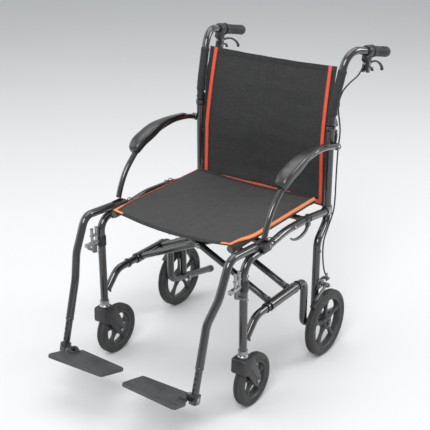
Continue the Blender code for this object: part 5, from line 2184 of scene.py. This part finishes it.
def build_back(bow, ribbon_width):
    """Upper and lower back panels, edged with ribbon and sleeved onto the canes."""
    panels = (
        ("lower", LOWER_BOTTOM, LOWER_TOP, "left_frame", ()),
        ("upper", UPPER_BOTTOM, UPPER_TOP, "left_back", ("back_sling",)),
    )
    for label, low, high, body, stands_for in panels:
        surface = make_back_surface(bow)
        half = BACK_HALF
        us = steps_between(-half, half, 110)
        vs = steps_between(low, high, max(40, int((high - low) / 0.0036)))
        grid, flat = surface_grid(surface, us, vs)
        # the back panels use the darkened copy of the seat cloth: painted shade
        panel = cloth_piece(
            f"back_{label}_panel", grid, flat, 0.0016, MATERIALS["back_cloth"], body,
            stands_for,
        )
        extras = []
        for name, side in SIDES:
            line = [
                (side * (RIBBON_HALF + RIBBON_FLARE * (RIBBON_TOP - v) / RIBBON_DROP), v)
                for v in vs
                if v > RIBBON_END
            ]
            extras.append(strip_on(
                f"{name}_back_{label}_ribbon", surface, line, ribbon_width, 0.0028,
                MATERIALS["ribbon"], body,
            ))
            for offset in (-1, 1):
                row = [(u + offset * (ribbon_width / 2 - 0.0012), v) for u, v in line]
                extras.append(stitches(
                    f"{name}_back_{label}_stitches_{'a' if offset < 0 else 'b'}", surface,
                    row, 0.0036, body, "ribbon_thread", 0.0050,
                ))
            line = [(side * 0.2095, v) for v in vs]
            extras.append(strip_on(
                f"{name}_back_{label}_binding", surface, line, 0.0090, 0.0012,
                MATERIALS["binding"], body, 0.0014,
            ))
        if label == "lower":
            line = [(u, 0.4450) for u in steps_between(-0.205, 0.205, 100)]
            extras.append(strip_on(
                "back_bottom_ribbon", surface, line, ribbon_width, 0.0018,
                MATERIALS["ribbon"], body,
            ))
        else:
            line = [(u, 0.8302) for u in steps_between(-0.2125, 0.2125, 100)]
            extras.append(strip_on(
                "back_top_hem", surface, line, 0.0130, 0.0012, MATERIALS["binding"],
                body, 0.0014,
            ))
            for offset in (-0.0045, 0.0045):
                row = [(u, 0.8302 + offset) for u, _ in line]
                extras.append(stitches(
                    f"back_top_stitches_{'a' if offset < 0 else 'b'}",
                    surface,
                    row,
                    0.0022,
                    body,
                ))
        for obj in [panel] + extras:
            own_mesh(obj)
    for name, side in SIDES:
        points = densify(back_tube_path(side, 20), 0.004)
        upper = [p for p in points if 0.705 <= p.z <= 0.832 and p.y < FRONT_Y + 0.505]
        # the cane sleeves use the same painted-shade back cloth
        build_sleeve(
            f"{name}_cane_sleeve", upper, TUBE_R + 0.0013, f"{name}_back", "back_cloth"
        )


def densify(path, step):
    points = []
    for a, b in zip(path, path[1:]):
        count = max(1, int((b - a).length / step))
        points += [a.lerp(b, i / count) for i in range(count)]
    return points + [path[-1]]


# ---- studio ---------------------------------------------------------------------
def build_stage(look):
    made = Finish("floor", 0.85)
    colour = tuple(look.floor)
    made.tint(made.grain(0.8, 2), shaded(colour, 0.99), shaded(colour, 1.01))
    bm = bmesh.new()
    size = 30
    corners = ((-size, -size, 0), (size, -size, 0), (size, size, 0), (-size, size, 0))
    bm.faces.new([bm.verts.new(p) for p in corners])
    mesh = bpy.data.meshes.new("floor")
    bm.to_mesh(mesh)
    bm.free()
    mesh.materials.append(made.material)
    floor = bpy.data.objects.new("floor", mesh)
    things = [floor]
    target = Vector((0, 0.05, 0.42))
    for name, spot, size, power in (
        ("key_lamp", (1.2, -2.6, 3.2), 1.7, 92),
        ("fill_lamp", (-2.8, -1.6, 2.0), 3.0, 38),
        ("top_lamp", (-0.2, 0.6, 3.6), 3.2, 62),
        ("rim_lamp", (2.4, 2.4, 2.2), 1.4, 44),
    ):
        lamp = bpy.data.lights.new(name, "AREA")
        lamp.size = size
        lamp.energy = power * look.lamp_level
        obj = bpy.data.objects.new(name, lamp)
        obj.location = spot
        obj.rotation_euler = (Vector(spot) - target).to_track_quat("Z", "Y").to_euler()
        things.append(obj)
    camera = bpy.data.cameras.new("camera")
    camera.lens, camera.sensor_width = look.lens, 36
    obj = bpy.data.objects.new("camera", camera)
    turn, rise = math.radians(35.38), math.radians(23.06)
    level = math.cos(rise)
    back = Vector((math.sin(turn) * level, -math.cos(turn) * level, math.sin(rise)))
    obj.location = (1.460, -2.0706, 1.511)
    obj.rotation_euler = back.to_track_quat("Z", "Y").to_euler()
    things.append(obj)
    for thing in things:
        bpy.context.scene.collection.objects.link(thing)
    scene = bpy.context.scene
    scene.camera = obj
    world = bpy.data.worlds.new("studio")
    world.use_nodes = True
    sky = world.node_tree.nodes["Background"]
    sky.inputs["Color"].default_value = (0.92, 0.94, 0.96, 1)
    sky.inputs["Strength"].default_value = 0.62 * look.lamp_level
    scene.world = world
    scene.view_settings.view_transform = "Standard"
    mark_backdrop(*things)


# ---- operators ------------------------------------------------------------------
class WHEELCHAIR_OT_finishes(bpy.types.Operator):
    """Make the wheelchair's materials"""

    bl_idname = "wheelchair.finishes"
    bl_label = "Finishes"

    def execute(self, context):
        make_finishes(context.scene.wheelchair_finish)
        return {"FINISHED"}


class WHEELCHAIR_OT_side_frames(bpy.types.Operator):
    """Build both side frames: front posts, rear posts and lower rails"""

    bl_idname = "wheelchair.side_frames"
    bl_label = "Side frames"

    def execute(self, context):
        build_side_tubes()
        build_rear_posts()
        build_lower_rails()
        return {"FINISHED"}


class WHEELCHAIR_OT_cross_braces(bpy.types.Operator):
    """Build the folding cross braces and their seat rails"""

    bl_idname = "wheelchair.cross_braces"
    bl_label = "Cross braces"

    def execute(self, context):
        build_cross_braces()
        return {"FINISHED"}


class WHEELCHAIR_OT_rear_wheels(bpy.types.Operator):
    """Build the rear wheels, tyres and axles"""

    bl_idname = "wheelchair.rear_wheels"
    bl_label = "Rear wheels"

    def execute(self, context):
        run = context.scene.wheelchair_running
        build_rear_wheels(run.spokes, run.tread_blocks)
        return {"FINISHED"}


class WHEELCHAIR_OT_casters(bpy.types.Operator):
    """Build the front casters with forks, stems and axles"""

    bl_idname = "wheelchair.casters"
    bl_label = "Casters"

    def execute(self, context):
        run = context.scene.wheelchair_running
        build_casters(run.spokes, run.tread_blocks)
        return {"FINISHED"}


class WHEELCHAIR_OT_wheel_brakes(bpy.types.Operator):
    """Build the brake brackets and brake arms"""

    bl_idname = "wheelchair.wheel_brakes"
    bl_label = "Wheel brakes"

    def execute(self, context):
        build_wheel_brakes()
        return {"FINISHED"}


class WHEELCHAIR_OT_arms(bpy.types.Operator):
    """Build the flip-up armrests, their pads and sockets"""

    bl_idname = "wheelchair.arms"
    bl_label = "Armrests"

    def execute(self, context):
        build_arms()
        return {"FINISHED"}


class WHEELCHAIR_OT_hangers(bpy.types.Operator):
    """Build the swing-away hangers with brackets and latches"""

    bl_idname = "wheelchair.hangers"
    bl_label = "Hangers"

    def execute(self, context):
        build_hangers()
        return {"FINISHED"}


class WHEELCHAIR_OT_footrests(bpy.types.Operator):
    """Build the foot tubes and the flip-up footplates"""

    bl_idname = "wheelchair.footrests"
    bl_label = "Footrests"

    def execute(self, context):
        build_footrests()
        return {"FINISHED"}


class WHEELCHAIR_OT_handles(bpy.types.Operator):
    """Build the folding back tubes, grips, levers, catches and latches"""

    bl_idname = "wheelchair.handles"
    bl_label = "Push handles"

    def execute(self, context):
        build_handles()
        return {"FINISHED"}


class WHEELCHAIR_OT_cables(bpy.types.Operator):
    """Build the brake cables"""

    bl_idname = "wheelchair.cables"
    bl_label = "Brake cables"

    def execute(self, context):
        build_cables()
        return {"FINISHED"}


class WHEELCHAIR_OT_seat(bpy.types.Operator):
    """Build the seat sling"""

    bl_idname = "wheelchair.seat"
    bl_label = "Seat"

    def execute(self, context):
        soft = context.scene.wheelchair_soft_goods
        build_seat(soft.seat_sag, soft.ribbon_width)
        return {"FINISHED"}


class WHEELCHAIR_OT_back(bpy.types.Operator):
    """Build the back sling"""

    bl_idname = "wheelchair.back"
    bl_label = "Back"

    def execute(self, context):
        soft = context.scene.wheelchair_soft_goods
        build_back(soft.back_bow, soft.ribbon_width)
        return {"FINISHED"}


class WHEELCHAIR_OT_stage(bpy.types.Operator):
    """Build the floor, lamps, camera and surroundings"""

    bl_idname = "wheelchair.stage"
    bl_label = "Studio"

    def execute(self, context):
        build_stage(context.scene.wheelchair_stage)
        return {"FINISHED"}


BUILDERS = (
    WHEELCHAIR_OT_finishes,
    WHEELCHAIR_OT_side_frames,
    WHEELCHAIR_OT_cross_braces,
    WHEELCHAIR_OT_rear_wheels,
    WHEELCHAIR_OT_casters,
    WHEELCHAIR_OT_wheel_brakes,
    WHEELCHAIR_OT_arms,
    WHEELCHAIR_OT_hangers,
    WHEELCHAIR_OT_footrests,
    WHEELCHAIR_OT_handles,
    WHEELCHAIR_OT_cables,
    WHEELCHAIR_OT_seat,
    WHEELCHAIR_OT_back,
    WHEELCHAIR_OT_stage,
)
GROUPS = {
    "wheelchair_finish": WheelchairFinish,
    "wheelchair_soft_goods": WheelchairSoftGoods,
    "wheelchair_running": WheelchairRunning,
    "wheelchair_stage": WheelchairStage,
}


class WHEELCHAIR_PT_builder(bpy.types.Panel):
    """Lists the wheelchair's settings and the operators that build it"""

    bl_label = "Transport Wheelchair"
    bl_idname = "WHEELCHAIR_PT_builder"
    bl_space_type = "VIEW_3D"
    bl_region_type = "UI"
    bl_category = "Wheelchair"

    def draw(self, context):
        for name, group in GROUPS.items():
            box = self.layout.box()
            settings = getattr(context.scene, name)
            for setting in group.__annotations__:
                box.prop(settings, setting)
        for builder in BUILDERS:
            self.layout.operator(builder.bl_idname)


def register():
    for name, group in GROUPS.items():
        bpy.utils.register_class(group)
        setattr(bpy.types.Scene, name, PointerProperty(type=group))
    for builder in (*BUILDERS, WHEELCHAIR_PT_builder):
        bpy.utils.register_class(builder)


def unregister():
    for builder in (WHEELCHAIR_PT_builder, *reversed(BUILDERS)):
        bpy.utils.unregister_class(builder)
    for name, group in GROUPS.items():
        delattr(bpy.types.Scene, name)
        bpy.utils.unregister_class(group)


def main():
    register()
    bpy.ops.wheelchair.finishes()
    bpy.ops.wheelchair.side_frames()
    bpy.ops.wheelchair.cross_braces()
    bpy.ops.wheelchair.rear_wheels()
    bpy.ops.wheelchair.casters()
    bpy.ops.wheelchair.wheel_brakes()
    bpy.ops.wheelchair.arms()
    bpy.ops.wheelchair.hangers()
    bpy.ops.wheelchair.footrests()
    bpy.ops.wheelchair.handles()
    bpy.ops.wheelchair.cables()
    bpy.ops.wheelchair.seat()
    bpy.ops.wheelchair.back()
    bpy.ops.wheelchair.stage()
    sizes = {"cad": CAD_BOX, "visual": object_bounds()}
    plain = {
        key: [[float(v) for v in corner] for corner in box]
        for key, box in sizes.items()
    }


if __name__ == "__main__":
    main()
